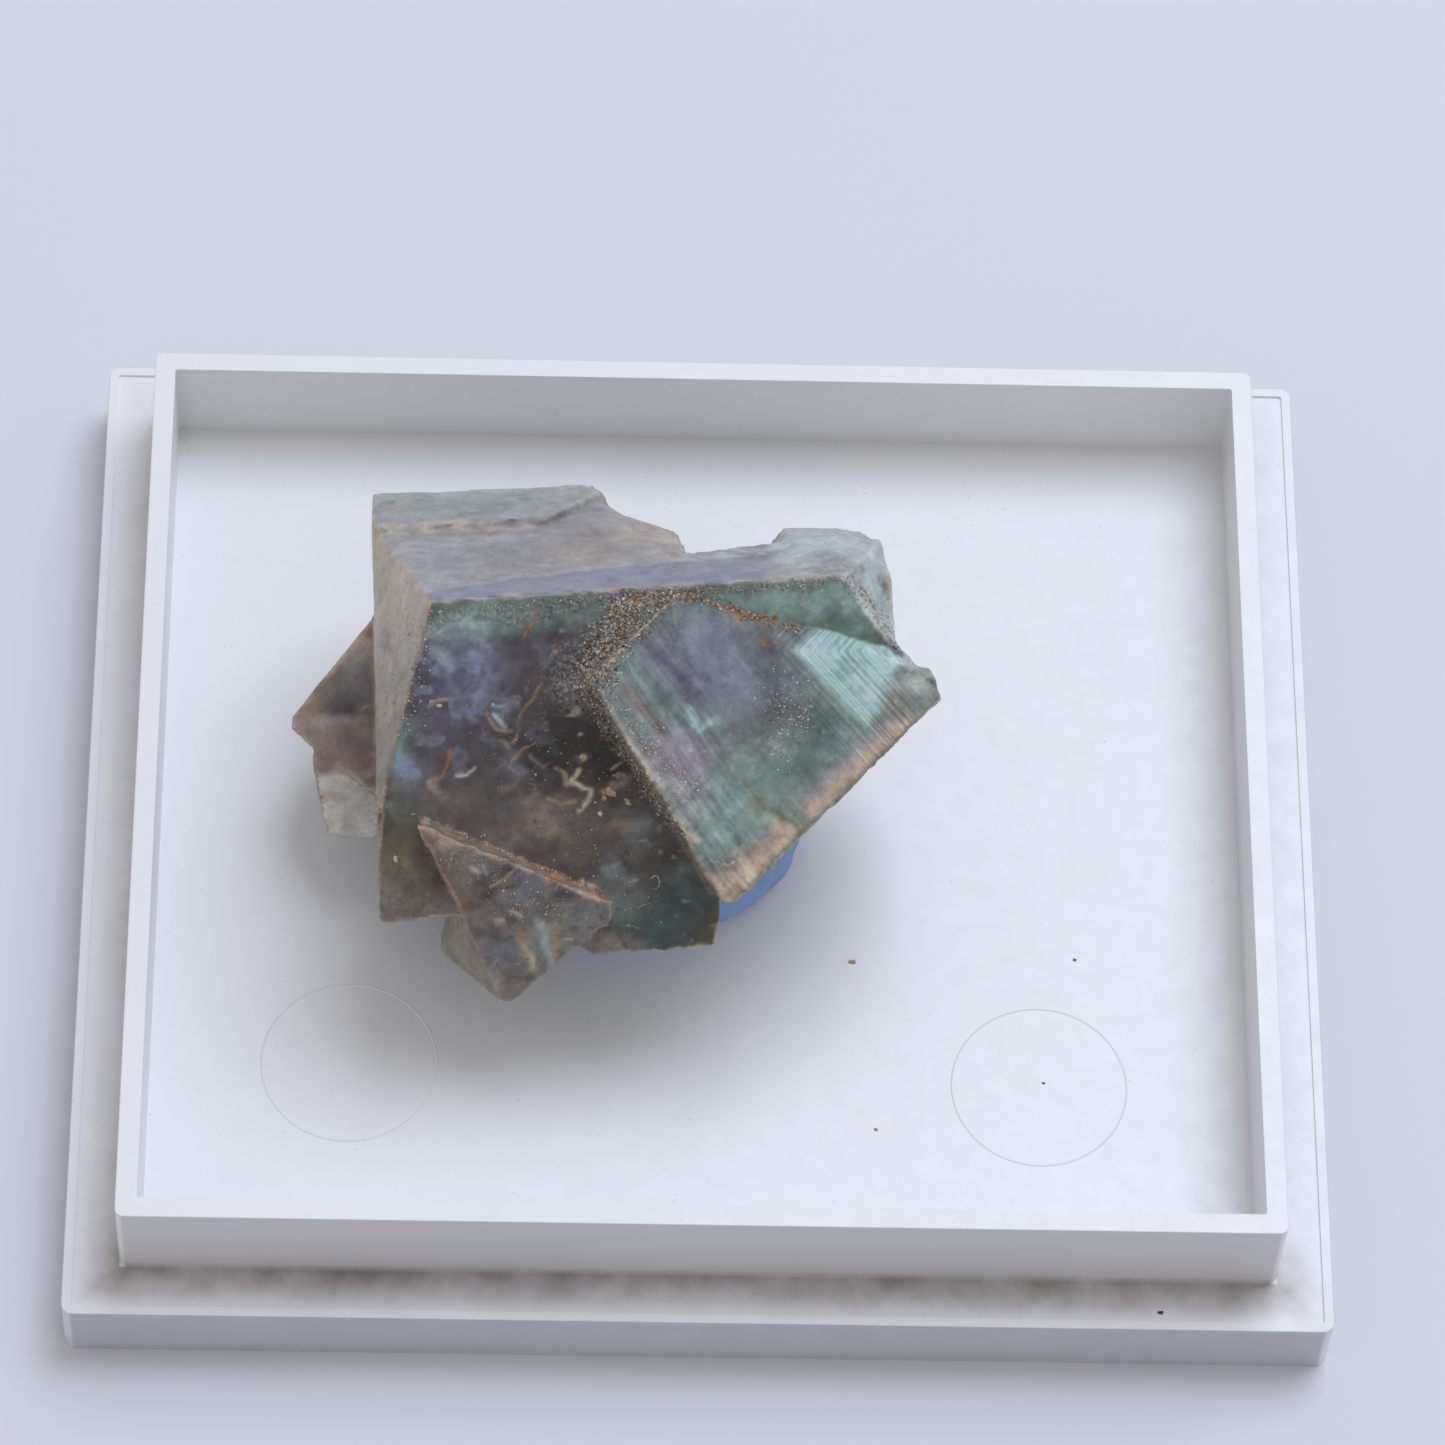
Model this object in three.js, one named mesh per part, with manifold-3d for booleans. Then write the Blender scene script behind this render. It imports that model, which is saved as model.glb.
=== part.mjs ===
// A cluster of intergrown fluorite cubes with a crust of tiny quartz crystals, held up on a lump of blue
// putty in the white plastic base of a specimen box. Millimetres, +Z up, origin at the centre of the
// underside of the box base, with the base's long side along X and its front towards -Y.
import * as THREE from 'three';
import { ConvexGeometry } from 'three/addons/geometries/ConvexGeometry.js';
import * as BufferGeometryUtils from 'three/addons/utils/BufferGeometryUtils.js';
import Module from 'manifold-3d';

const wasm = await Module();
wasm.setup();

// Box base: a flanged plate, hollow underneath, with a raised rim that a lid would slide over.
const PLATE_WIDTH = 57;
const PLATE_DEPTH = 50.2;
const PLATE_HEIGHT = 3.5;
const PLATE_CORNER_RADIUS = 0.6;
const SHELL = 1.1;
const LIP_WIDTH = 0.45;
const LIP_HEIGHT = 0.12;
const RIM_WIDTH = 52;
const RIM_DEPTH = 45.4;
const RIM_HEIGHT = 5.2;
const RIM_WALL = 0.95;
const RIM_CORNER_RADIUS = 0.45;
const FLOOR_HEIGHT = 3.4;

// Putty: a pressed lump between the floor of the base and the broken underside of the specimen.
const PUTTY_PLACE = [-2.7, -0.5, 5.3];
const PUTTY_RADII = [7.2, 6.6, 3.6];
const PUTTY_SEGMENTS = 20;
const PUTTY_DENT = 0.07;
const PUTTY_FLOOR_GAP = 0.05;
const PUTTY_STONE_GAP = 0.3;

// Specimen: the near corner of the biggest cube, where its front, top and left faces meet, is the origin of
// the cluster's own frame, in which that cube's faces look along the axes.
const NEAR_CORNER_PLACE = [-12.5, 0.6, 23.1];
const CLUSTER_TURN = [44, 6, 4];
const BROKEN_BASE_HEIGHT = 6.9;
const CRYSTAL_BOUND = 80;

// Faces that several crystals of the cluster share: the way each looks out, and a point on it.
const FRONT = face([0, 0, 1], [0, 0, 0]);
const TOP = face([0.01, 1, 0.04], [0, 0, 0]);
const REAR_TOP = face([0.03, 0.99, 0.1], [0, 0, 0]);
const LEFT = face([-1, 0.03, -0.09], [-2.95, -9, 0]);
const LEFT_BEVEL = face([-0.938, 0.289, 0.188], [0, 0, 0]);
const REAR = face([0, 0.02, -1], [0, 0, -14.3]);
const REAR_RIGHT_CUT = face([0.867, 0.05, -0.498], [11.4, 0, -10.4]);
const REAR_LEFT_CUT = [-0.7, 0.7, -0.5];
const LEDGE_RISE = 0.38;

// Quartz crust: its outline on the front face, its relief, and its crystals.
const CRUST_OUTLINE = [
  [6.9, -5.3], [6.3, -4.5], [5.6, -4.1], [5.3, -3.1], [5.9, -2.2], [5.8, -1.4], [7.0, -0.9], [7.6, -0.4],
  [9.2, -0.5], [10.7, -0.2], [12.2, -0.6], [13.0, -0.5], [14.3, -1.3], [16.3, -1.9], [17.3, -2.9],
  [15.6, -2.8], [14.2, -2.5], [13.4, -1.8], [12.3, -2.0], [11.4, -1.1], [10.2, -1.4],
];
const CRUST_THICKNESS = 0.17;
const CRUST_GAP = 0.08;
const QUARTZ_COUNT = 110;
const QUARTZ_RADIUS = [0.08, 0.2];
const QUARTZ_SLENDERNESS = [1.3, 2.2];

// Wear: small chips along the edges of the cubes.
const CHIP_SIZE = [0.18, 0.6];

function vector([x, y, z]) {
  return new THREE.Vector3(x, y, z);
}

function face(out, at) {
  return { out, at };
}

function randomFrom(seed) {
  let state = seed;
  return (low = 0, high = 1) => {
    state = (state * 1664525 + 1013904223) % 4294967296;
    return low + (high - low) * (state / 4294967296);
  };
}

function radians(degrees) {
  return THREE.MathUtils.degToRad(degrees);
}

function turnMatrix(degrees, place = [0, 0, 0]) {
  const turn = new THREE.Euler(...degrees.map(radians));
  return new THREE.Matrix4().makeRotationFromEuler(turn).setPosition(vector(place));
}

// A closed three.js geometry as a solid that can be joined and cut.
function solid(geometry, matrix = new THREE.Matrix4()) {
  const moved = geometry.clone().applyMatrix4(matrix);
  moved.deleteAttribute('normal');
  moved.deleteAttribute('uv');
  const merged = BufferGeometryUtils.mergeVertices(moved, 1e-4);
  return new wasm.Manifold(new wasm.Mesh({
    numProp: 3,
    vertProperties: new Float32Array(merged.attributes.position.array),
    triVerts: new Uint32Array(merged.index.array),
  }));
}

function geometryOf(manifold) {
  const mesh = manifold.getMesh();
  const geometry = new THREE.BufferGeometry();
  geometry.setAttribute('position', new THREE.BufferAttribute(new Float32Array(mesh.vertProperties), 3));
  geometry.setIndex(new THREE.BufferAttribute(new Uint32Array(mesh.triVerts), 1));
  geometry.computeVertexNormals();
  return geometry;
}

function join(solids) {
  return solids.reduce((all, next) => all.add(next));
}

function biggestPiece(manifold) {
  return manifold.decompose().reduce((big, next) => (next.volume() > big.volume() ? next : big));
}

// A crystal is the space inside all its faces: its corners are where three of them meet.
function crystal(faces) {
  const bound = [[1, 0, 0], [0, 1, 0], [0, 0, 1]].flatMap((out) => [
    face(out, out.map((v) => v * CRYSTAL_BOUND)),
    face(out.map((v) => -v), out.map((v) => -v * CRYSTAL_BOUND)),
  ]);
  const planes = [...faces, ...bound].map(({ out, at }) =>
    new THREE.Plane().setFromNormalAndCoplanarPoint(vector(out).normalize(), vector(at)));
  const corners = [];
  for (let i = 0; i < planes.length; i += 1) {
    for (let j = i + 1; j < planes.length; j += 1) {
      for (let k = j + 1; k < planes.length; k += 1) {
        const corner = meetingPoint(planes[i], planes[j], planes[k]);
        if (corner && planes.every((plane) => plane.distanceToPoint(corner) < 1e-5)) {
          corners.push(corner);
        }
      }
    }
  }
  return solid(new ConvexGeometry(corners));
}

function meetingPoint(a, b, c) {
  const bc = new THREE.Vector3().crossVectors(b.normal, c.normal);
  const volume = a.normal.dot(bc);
  if (Math.abs(volume) < 1e-6) return null;
  const ca = new THREE.Vector3().crossVectors(c.normal, a.normal);
  const ab = new THREE.Vector3().crossVectors(a.normal, b.normal);
  return bc.multiplyScalar(-a.constant).addScaledVector(ca, -b.constant).addScaledVector(ab, -c.constant)
    .divideScalar(volume);
}

// A crystal whose side walls stand on the edges of its front face, square to it unless a lean in degrees is
// given. The outline lists the front face's corners clockwise, as x, y and the lean of the wall that follows.
function blockFaces({ front, outline, depth, extra = [] }) {
  const out = vector(front.out).normalize();
  const at = vector(front.at);
  const corners = outline.map(([x, y]) => {
    const z = at.z - (out.x * (x - at.x) + out.y * (y - at.y)) / out.z;
    return new THREE.Vector3(x, y, z);
  });
  const walls = corners.map((corner, i) => {
    const along = corners[(i + 1) % corners.length].clone().sub(corner).normalize();
    const square = new THREE.Vector3().crossVectors(along, out).negate();
    const lean = radians(outline[i][2] ?? 0);
    const wall = square.multiplyScalar(Math.cos(lean)).addScaledVector(out, Math.sin(lean));
    return face(wall.toArray(), corner.toArray());
  });
  const back = face(out.clone().negate().toArray(), at.clone().addScaledVector(out, -depth).toArray());
  return [front, ...walls, back, ...extra];
}

function block(shape) {
  return crystal(blockFaces(shape));
}

function turnedCube(size, place, turn) {
  return solid(new THREE.BoxGeometry(...size), turnMatrix(turn, place));
}

// The biggest cube and the near-parallel blocks grown on to it
function mainCube() {
  return crystal([
    FRONT, TOP, LEFT, LEFT_BEVEL, REAR, REAR_RIGHT_CUT,
    face([0.02, -1, 0], [0, -14.55, 0]),
    face([1, 0, 0], [12.1, 0, 0]),
  ]);
}

function lowerBlock() {
  return block({
    front: face([0.02, 0.02, 1], [9, -12, -0.08]),
    outline: [[5.2, -6], [12.15, -6], [12.2, -15.6], [11.9, -16.9], [6.2, -16.85], [5.4, -15.9]],
    depth: 9,
  });
}

function rearBlock() {
  return crystal([
    REAR_TOP, LEFT, LEFT_BEVEL, REAR, REAR_RIGHT_CUT,
    face([0.48, 0.87, -0.04], [10.3, 0.4, -8.4]),
    face([0, 0, 1], [0, 0, -0.3]),
    face([0, -1, 0], [0, -9, 0]),
    face(REAR_LEFT_CUT, [-2.6, 1.25, -14]),
  ]);
}

// A raised growth step across the back of the top, with a broken front edge.
function rearLedge() {
  return crystal([
    face(REAR_TOP.out, [0, LEDGE_RISE, 0]),
    LEFT, LEFT_BEVEL,
    face([0, 0.01, -1], [0, 0, -14.36]),
    face(REAR_RIGHT_CUT.out, [11.2, 0, -10.4]),
    face([0.6, 0.79, -0.04], [8.75, 1.56, -14.3]),
    face([0.05, 0.35, 0.93], [2, 1, -9.55]),
    face([0.75, 0.1, 0.65], [6.2, 1, -9.7]),
    face([0, -1, 0], [0, -1, 0]),
    face(REAR_LEFT_CUT, [-2.5, 1.5, -14]),
  ]);
}

function rightBlock() {
  return crystal([
    FRONT, TOP,
    face([0.8, 0.45, 0.39], [18.45, -0.26, 0]),
    face([1, -0.05, 0], [20.95, -0.8, -4.9]),
    face([-0.25, 0, -1], [13.8, 0, -5.6]),
    face([0.62, 0.1, -0.78], [20.9, 0, -5.7]),
    face([-0.55, 0.2, -0.8], [13.4, 0, -6.0]),
    face([0, -1, 0], [15, -6.6, 0]),
    face([-1, 0, 0], [9, 0, 0]),
  ]);
}

// The higher step at the far right of the top, which makes the crest of the outline there.
function rightCrest() {
  return crystal([
    face([0.02, 1, 0.06], [17.6, 0.38, -7.3]),
    face([0.35, 0.9, 0.25], [19.6, 0.2, -5.4]),
    face([-0.72, 0.69, 0.1], [16.5, 0.05, -6.6]),
    face([-0.2, 0.35, 0.92], [17.6, 0.3, -3.6]),
    face([1, -0.05, 0], [20.95, -0.8, -4.9]),
    face([0.62, 0.1, -0.78], [20.9, 0, -5.7]),
    face([0.14, 0, -1], [17.6, 0, -7.35]),
    face([0, -1, 0], [15, -4, 0]),
  ]);
}

// The big cube turned a half quarter about its front face, proud of the main cube's lower right.
function twinCube() {
  return block({
    front: face([0.06, 0.16, 0.98], [10.84, -0.46, 0]),
    outline: [[6.7, -3.91], [15.56, 3.47], [22.62, -6.15], [12.28, -14.66]],
    depth: 9.2,
    extra: [face([0, 1, -0.12], [0, -0.35, 0]), face([0, -1, 0.02], [0, -14.45, 0])],
  });
}

// Steps of the turned cube's face, each a little higher and with its corner pointing left.
function twinSteps() {
  const count = 4;
  const apex = [14.9, -3.75];
  const spacing = 0.95;
  const rise = 0.07;
  const steps = [];
  for (let i = 1; i <= count; i += 1) {
    const x = apex[0] + spacing * i;
    const y = apex[1] - 0.12 * i;
    steps.push(block({
      front: face([0.06, 0.16, 0.98], [10.84, -0.46, rise * i]),
      outline: [[x, y], [x + 2.2, y + 1.85], [22.3, -4.6], [22.45, -6.15], [x + 4.9, y - 6.0]],
      depth: 1,
      extra: [face([0, 1, 0], [0, -0.9, 0]), face([0.643, -0.761, 0.085], [12.2, -14.5, 2]),
        face([0.48, 0.87, 0.1], [20.0, -3.9, 0.1])],
    }));
  }
  return steps;
}

// The small cube that comes out of the front at the lower left, with its point hanging below. Its body
// spreads towards the left behind the bottom edge of the main cube.
function frontTwin() {
  const front = face([-0.1, -0.3, 0.95], [2.8, -11.8, 1.3]);
  const head = block({
    front,
    outline: [[-1.58, -9.55, -20], [7.25, -14.2], [7.2, -15.05], [2.6, -19.15], [0.65, -14.55], [-1.5, -10.6]],
    depth: 3,
  });
  const body = block({
    front,
    outline: [[1.15, -13.3], [6.55, -13.9], [7.2, -15.05], [2.6, -19.15], [2.25, -19.1, 34], [0.7, -14.75]],
    depth: 6.4,
  });
  return head.add(body);
}

// Narrow grooved facets low on the small front cube.
function frontTwinRidges() {
  const count = 4;
  const ridges = [];
  for (let i = 0; i < count; i += 1) {
    ridges.push(block({
      front: face([0.1 - 0.05 * i, -0.36, 0.93], [4.2 + 0.62 * i, -15.9 + 0.5 * i, 0.32 + 0.2 * i]),
      outline: [[3.7 + 0.62 * i, -15.1 + 0.42 * i], [4.15 + 0.62 * i, -14.9 + 0.42 * i],
        [4.05 + 0.66 * i, -17.4 + 0.72 * i], [3.6 + 0.66 * i, -17.5 + 0.72 * i]],
      depth: 1.2,
    }));
  }
  return ridges;
}

// Cubes on the left side, behind the main cube
function leftTwin() {
  return block({
    front: face([-0.2, 0.2, 0.96], [-5.9, -7.5, -9.6]),
    outline: [[-6.05, -7.75], [-5.9, -7.2], [-1.7, -2.6], [3, -6.4], [-1.6, -11.6], [-5.3, -8.5]],
    depth: 4.6,
  });
}

function leftLowBlock() {
  return block({
    front: face([-0.2, -0.1, 0.97], [-5, -11, -9.4]),
    outline: [[-5.2, -9.1], [0, -8.6], [0, -13.1], [-4.62, -13.3], [-4.96, -11.17]],
    depth: 2.8,
  });
}

// Cubes on the hidden sides: behind the crest, under the turned cube and out of the back.
function hiddenTwins() {
  return [
    turnedCube([6.2, 6.0, 6.2], [15.0, -6.7, -7.9], [28, -18, 38]),
    turnedCube([4.2, 4.4, 4.0], [18.4, -5.6, -6.0], [12, 34, 20]),
    turnedCube([7.2, 6.6, 6.4], [10.6, -12.2, -5.4], [20, 36, 14]),
    turnedCube([7.6, 6.4, 6.0], [3.6, -5.2, -12.8], [36, 12, 42]),
    turnedCube([4.0, 3.6, 4.4], [8.4, -5.6, -13.2], [14, 30, 8]),
  ];
}

// Chips out of the edge between two points, at places and sizes that a seeded draw gives.
function chips(random, from, to, count, reach = 1) {
  const cutters = [];
  for (let i = 0; i < count; i += 1) {
    const place = vector(from).lerp(vector(to), (i + random(0.1, 0.9)) / count);
    const size = random(...CHIP_SIZE) * reach;
    const shape = new THREE.BoxGeometry(size * random(1, 2.6), size * random(0.35, 0.7), size * random(0.4, 0.8));
    const turn = [random(0, 180), random(0, 180), random(0, 180)];
    cutters.push(solid(shape, turnMatrix(turn, place.toArray())));
  }
  return cutters;
}

function edgeWear() {
  const random = randomFrom(7);
  const edges = [
    [[0, 0, 0], [18.4, 0, 0], 26],
    [[0, 0, 0], [-2.8, -9.1, 0], 10],
    [[-2.9, -9.1, 0], [-2.9, -14.5, 0], 6],
    [[-2.8, -14.5, 0], [0.4, -14.6, 0], 5],
    [[6.2, -16.85, 0], [12.1, -16.9, 0], 8],
    [[6.7, -3.91, 0.83], [12.28, -14.66, 2.25], 14],
    [[12.28, -14.66, 2.25], [22.6, -6.15, 0.2], 16],
    [[7.5, -14.15, 0.3], [2.75, -19.45, -1.85], 8],
    [[-1.47, -9.39, 0.32], [7.4, -14.15, 0.3], 8],
    [[0, 0, 0], [-2.6, 1.3, -14], 10],
    [[-2.6, 1.7, -14.3], [9.0, 1.4, -14.3], 12],
    [[9.0, 1.3, -14.2], [13.2, -0.2, -6.6], 8],
    [[13.6, 0, -6.4], [20.8, 0.1, -6.2], 9],
    [[20.9, -0.4, -5.6], [20.9, -3.4, -0.6], 5],
    [[18.4, 0, 0], [20.7, -4.1, 0], 7],
  ];
  return edges.flatMap(([from, to, count]) => chips(random, from, to, count));
}

// The broken underside, rough and about level, where the cluster came off its rock.
function brokenBase(toCluster) {
  const random = randomFrom(23);
  const pitch = 6.5;
  const cutters = [];
  for (let x = -22; x <= 16; x += pitch) {
    for (let y = -13; y <= 18; y += pitch) {
      const turn = [random(-7, 7), random(-7, 7), random(0, 90)];
      const place = [x, y, BROKEN_BASE_HEIGHT - 5 + random(-0.25, 0.35)];
      const matrix = toCluster.clone().multiply(turnMatrix(turn, place));
      cutters.push(solid(new THREE.BoxGeometry(pitch * 1.5, pitch * 1.5, 10), matrix));
    }
  }
  return cutters;
}

function fluoriteSolid(clusterMatrix) {
  const grown = join([
    mainCube(), lowerBlock(), rearBlock(), rearLedge(), rightBlock(), rightCrest(), twinCube(),
    ...twinSteps(), frontTwin(), ...frontTwinRidges(), leftTwin(), leftLowBlock(),
    ...hiddenTwins(),
  ]);
  const lost = join([...edgeWear(), ...brokenBase(clusterMatrix.clone().invert())]);
  return biggestPiece(grown.subtract(lost));
}

// One six-sided quartz crystal with a pointed end, standing along its own Y axis.
function quartzPoint(radius, length) {
  const half = length / 2;
  const outline = [
    new THREE.Vector2(0, -half), new THREE.Vector2(radius, -half),
    new THREE.Vector2(radius, half - radius), new THREE.Vector2(0, half + radius * 0.3),
  ];
  return new THREE.LatheGeometry(outline, 6);
}

function inOutline(x, y) {
  let inside = false;
  for (let i = 0, j = CRUST_OUTLINE.length - 1; i < CRUST_OUTLINE.length; j = i, i += 1) {
    const [xi, yi] = CRUST_OUTLINE[i];
    const [xj, yj] = CRUST_OUTLINE[j];
    if ((yi > y) !== (yj > y) && x < ((xj - xi) * (y - yi)) / (yj - yi) + xi) inside = !inside;
  }
  return inside;
}

// The crust fills the notch between the main cube and the turned cube and bristles with points.
function quartzSolid(fluorite) {
  const random = randomFrom(41);
  const sheet = new THREE.Shape(CRUST_OUTLINE.map(([x, y]) => new THREE.Vector2(x, y)));
  const crust = [solid(new THREE.ExtrudeGeometry(sheet, { depth: CRUST_THICKNESS + 0.4, bevelEnabled: false }),
    turnMatrix([0, 0, 0], [0, 0, -0.4]))];
  while (crust.length <= QUARTZ_COUNT) {
    const x = random(5.3, 17.2);
    const y = random(-4.8, -0.1);
    if (inOutline(x, y)) {
      const radius = random(...QUARTZ_RADIUS);
      const length = radius * 2 * random(...QUARTZ_SLENDERNESS);
      const turn = [90 + random(-75, 75), random(0, 60), random(-60, 60)];
      const place = [x, y, CRUST_THICKNESS * random(0.3, 1.1)];
      crust.push(solid(quartzPoint(radius, length), turnMatrix(turn, place)));
    }
  }
  const clearances = [[0, 0, 0], [0, 0, CRUST_GAP], [-CRUST_GAP, CRUST_GAP, 0], [0, CRUST_GAP, 0]];
  const keptClear = join(clearances.map((shift) => fluorite.translate(shift)));
  return biggestPiece(join(crust).subtract(keptClear));
}

function roundedRectangle(width, depth, radius) {
  const x = width / 2;
  const y = depth / 2;
  const shape = new THREE.Shape();
  shape.moveTo(-x + radius, -y);
  shape.lineTo(x - radius, -y);
  shape.absarc(x - radius, -y + radius, radius, -Math.PI / 2, 0);
  shape.lineTo(x, y - radius);
  shape.absarc(x - radius, y - radius, radius, 0, Math.PI / 2);
  shape.lineTo(-x + radius, y);
  shape.absarc(-x + radius, y - radius, radius, Math.PI / 2, Math.PI);
  shape.lineTo(-x, -y + radius);
  shape.absarc(-x + radius, -y + radius, radius, Math.PI, Math.PI * 1.5);
  return shape;
}

function plate(width, depth, radius, low, high) {
  const shape = roundedRectangle(width, depth, radius);
  const settings = { depth: high - low, bevelEnabled: false, curveSegments: 6 };
  return solid(new THREE.ExtrudeGeometry(shape, settings), turnMatrix([0, 0, 0], [0, 0, low]));
}

function ring(width, depth, radius, wall, low, high) {
  const hole = plate(width - 2 * wall, depth - 2 * wall, Math.max(radius - wall, 0.12), low - 1, high + 1);
  return plate(width, depth, radius, low, high).subtract(hole);
}

function traySolid() {
  const rimTop = PLATE_HEIGHT + RIM_HEIGHT;
  const body = plate(PLATE_WIDTH, PLATE_DEPTH, PLATE_CORNER_RADIUS, 0, PLATE_HEIGHT)
    .add(ring(RIM_WIDTH, RIM_DEPTH, RIM_CORNER_RADIUS, RIM_WALL, PLATE_HEIGHT - 0.5, rimTop))
    .add(ring(PLATE_WIDTH, PLATE_DEPTH, PLATE_CORNER_RADIUS, LIP_WIDTH, PLATE_HEIGHT - 0.5,
      PLATE_HEIGHT + LIP_HEIGHT));
  const inside = plate(RIM_WIDTH - 2 * RIM_WALL, RIM_DEPTH - 2 * RIM_WALL, 0.12, FLOOR_HEIGHT, rimTop + 1);
  const hollow = plate(PLATE_WIDTH - 2 * SHELL, PLATE_DEPTH - 2 * SHELL, 0.3, -1, FLOOR_HEIGHT - SHELL);
  return body.subtract(inside).subtract(hollow);
}

function puttySolid(fluorite) {
  const lump = new THREE.SphereGeometry(1, PUTTY_SEGMENTS, PUTTY_SEGMENTS / 2);
  const point = new THREE.Vector3();
  const position = lump.attributes.position;
  for (let i = 0; i < position.count; i += 1) {
    point.fromBufferAttribute(position, i);
    const around = Math.atan2(point.y, point.x);
    const level = Math.hypot(point.x, point.y);
    const dent = 1 + PUTTY_DENT * level * (Math.sin(3 * around + 0.7) + 0.6 * Math.sin(5 * around + 2.1));
    position.setXYZ(i, point.x * dent, point.y * dent, point.z);
  }
  const [rx, ry, rz] = PUTTY_RADII;
  const blob = solid(lump, turnMatrix([0, 0, 0], PUTTY_PLACE).scale(new THREE.Vector3(rx, ry, rz)));
  const belowFloor = plate(40, 40, 1, -5, FLOOR_HEIGHT + PUTTY_FLOOR_GAP);
  const gap = PUTTY_STONE_GAP;
  const clearances = [[0, 0, 0], [0, 0, -gap], [gap, 0, 0], [-gap, 0, 0], [0, gap, 0], [0, -gap, 0]];
  const keptClear = join(clearances.map((shift) => fluorite.translate(shift)));
  return biggestPiece(blob.subtract(belowFloor).subtract(keptClear));
}

function material(color, roughness) {
  return new THREE.MeshStandardMaterial({ color, roughness, metalness: 0 });
}

const TRAY_MATERIAL = material(0xeeeff2, 0.35);
const PUTTY_MATERIAL = material(0x7f9ad2, 0.8);
const FLUORITE_MATERIAL = material(0x7f9a90, 0.2);
const QUARTZ_MATERIAL = material(0xb49a78, 0.4);

function namedMesh(name, manifold, finish) {
  const mesh = new THREE.Mesh(geometryOf(manifold), finish);
  mesh.name = name;
  return mesh;
}

const specimen = new THREE.Group();
specimen.position.set(...NEAR_CORNER_PLACE);
specimen.rotation.set(...CLUSTER_TURN.map(radians));
const clusterMatrix = turnMatrix(CLUSTER_TURN, NEAR_CORNER_PLACE);
const fluorite = fluoriteSolid(clusterMatrix);
specimen.add(namedMesh('fluorite', fluorite, FLUORITE_MATERIAL));
specimen.add(namedMesh('quartz_crust', quartzSolid(fluorite), QUARTZ_MATERIAL));

const placedFluorite = solid(geometryOf(fluorite), clusterMatrix);
const group = new THREE.Group();
group.add(namedMesh('box_base', traySolid(), TRAY_MATERIAL));
group.add(namedMesh('putty', puttySolid(placedFluorite), PUTTY_MATERIAL));
group.add(specimen);

export default group;
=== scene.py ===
"""Looks of a fluorite and quartz specimen that stands on putty in the white base of its box.

The cluster's shapes and colours are laid out in the cluster's own frame, in millimetres: its origin is the
near corner of the biggest cube, x runs along that cube's front edge, y up its front face and z out of it.
"""

import math
import random
from contextlib import contextmanager
from itertools import product

import bmesh
import bpy
import numpy as np
from mathutils import Matrix, Vector
from mathutils.bvhtree import BVHTree


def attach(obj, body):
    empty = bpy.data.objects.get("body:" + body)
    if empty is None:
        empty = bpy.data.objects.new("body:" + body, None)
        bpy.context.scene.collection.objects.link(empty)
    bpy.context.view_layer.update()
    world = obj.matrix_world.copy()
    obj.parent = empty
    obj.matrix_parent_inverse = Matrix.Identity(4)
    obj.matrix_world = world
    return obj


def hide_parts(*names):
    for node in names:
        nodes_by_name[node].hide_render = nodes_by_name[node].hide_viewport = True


MM = 0.001

# Camera: where the photograph was taken from, which way its sides look, and its lens.
CAMERA_PLACE = (-8.4916, -157.0753, 285.9372)
CAMERA_RIGHT = (0.999426, 0.000351, 0.033874)
CAMERA_UP = (-0.017233, 0.866167, 0.499457)
CAMERA_BACK = (-0.029166, -0.499754, 0.865676)
CAMERA_LENS = 173.19
SENSOR_WIDTH = 36.0

# Surroundings, in metres: the glow of the room, a window above, behind and to the right, and the floor.
ROOM_COLOUR = (1.0, 0.97, 1.0, 1)
ROOM_STRENGTH = 0.48
WINDOW_PLACE = (0.25, 0.31, 0.80)
WINDOW_SIZE = 0.60
WINDOW_POWER = 4.3
WINDOW_COLOUR = (0.75, 0.84, 1.0)
FLOOR_SIZE = 4

# The cluster's place in the box.
CLUSTER_PLACE = (-12.5, 0.6, 23.1)
CLUSTER_TURN = (44, 6, 4)

# Box base: its size as in the solids, the marks of the ejector pins, its edges, and its dirt with painted
# shade.
PLATE_SIZE = (57.0, 50.2)
RIM_SIZE = (52.0, 45.4)
TRAY_FLOOR = 3.4
PLATE_TOP = 3.5
EJECTOR_MARKS = ((-16.0, -12.2), (15.5, -12.9))
EJECTOR_RADIUS = 4.0
EJECTOR_LINE = 0.14
EJECTOR_HEIGHT = 0.03
EJECTOR_SINK = 0.01
EJECTOR_STEPS = 96
BEVEL = 0.09
BEVEL_ANGLE = 30
WALL_FOOT = 0.15
GRIME_AND_SHADE_REACH = 1.9

# Meshes of the fluorite and the putty, and how far the fluorite's skin lies under its solid's.
WELD_DISTANCE = 1e-7
FLAT_ANGLE = 1
FLUORITE_VOXEL = 0.205
FINE_FACE_DEPTH = -1.2
FINE_FACE_FACING = 0.85
STONE_INSET = 0.02
PUTTY_VOXEL = 0.3
PUTTY_SMOOTHING = 0.5
PUTTY_SMOOTHING_ROUNDS = 12
PUTTY_FRONT = -4.6

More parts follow.
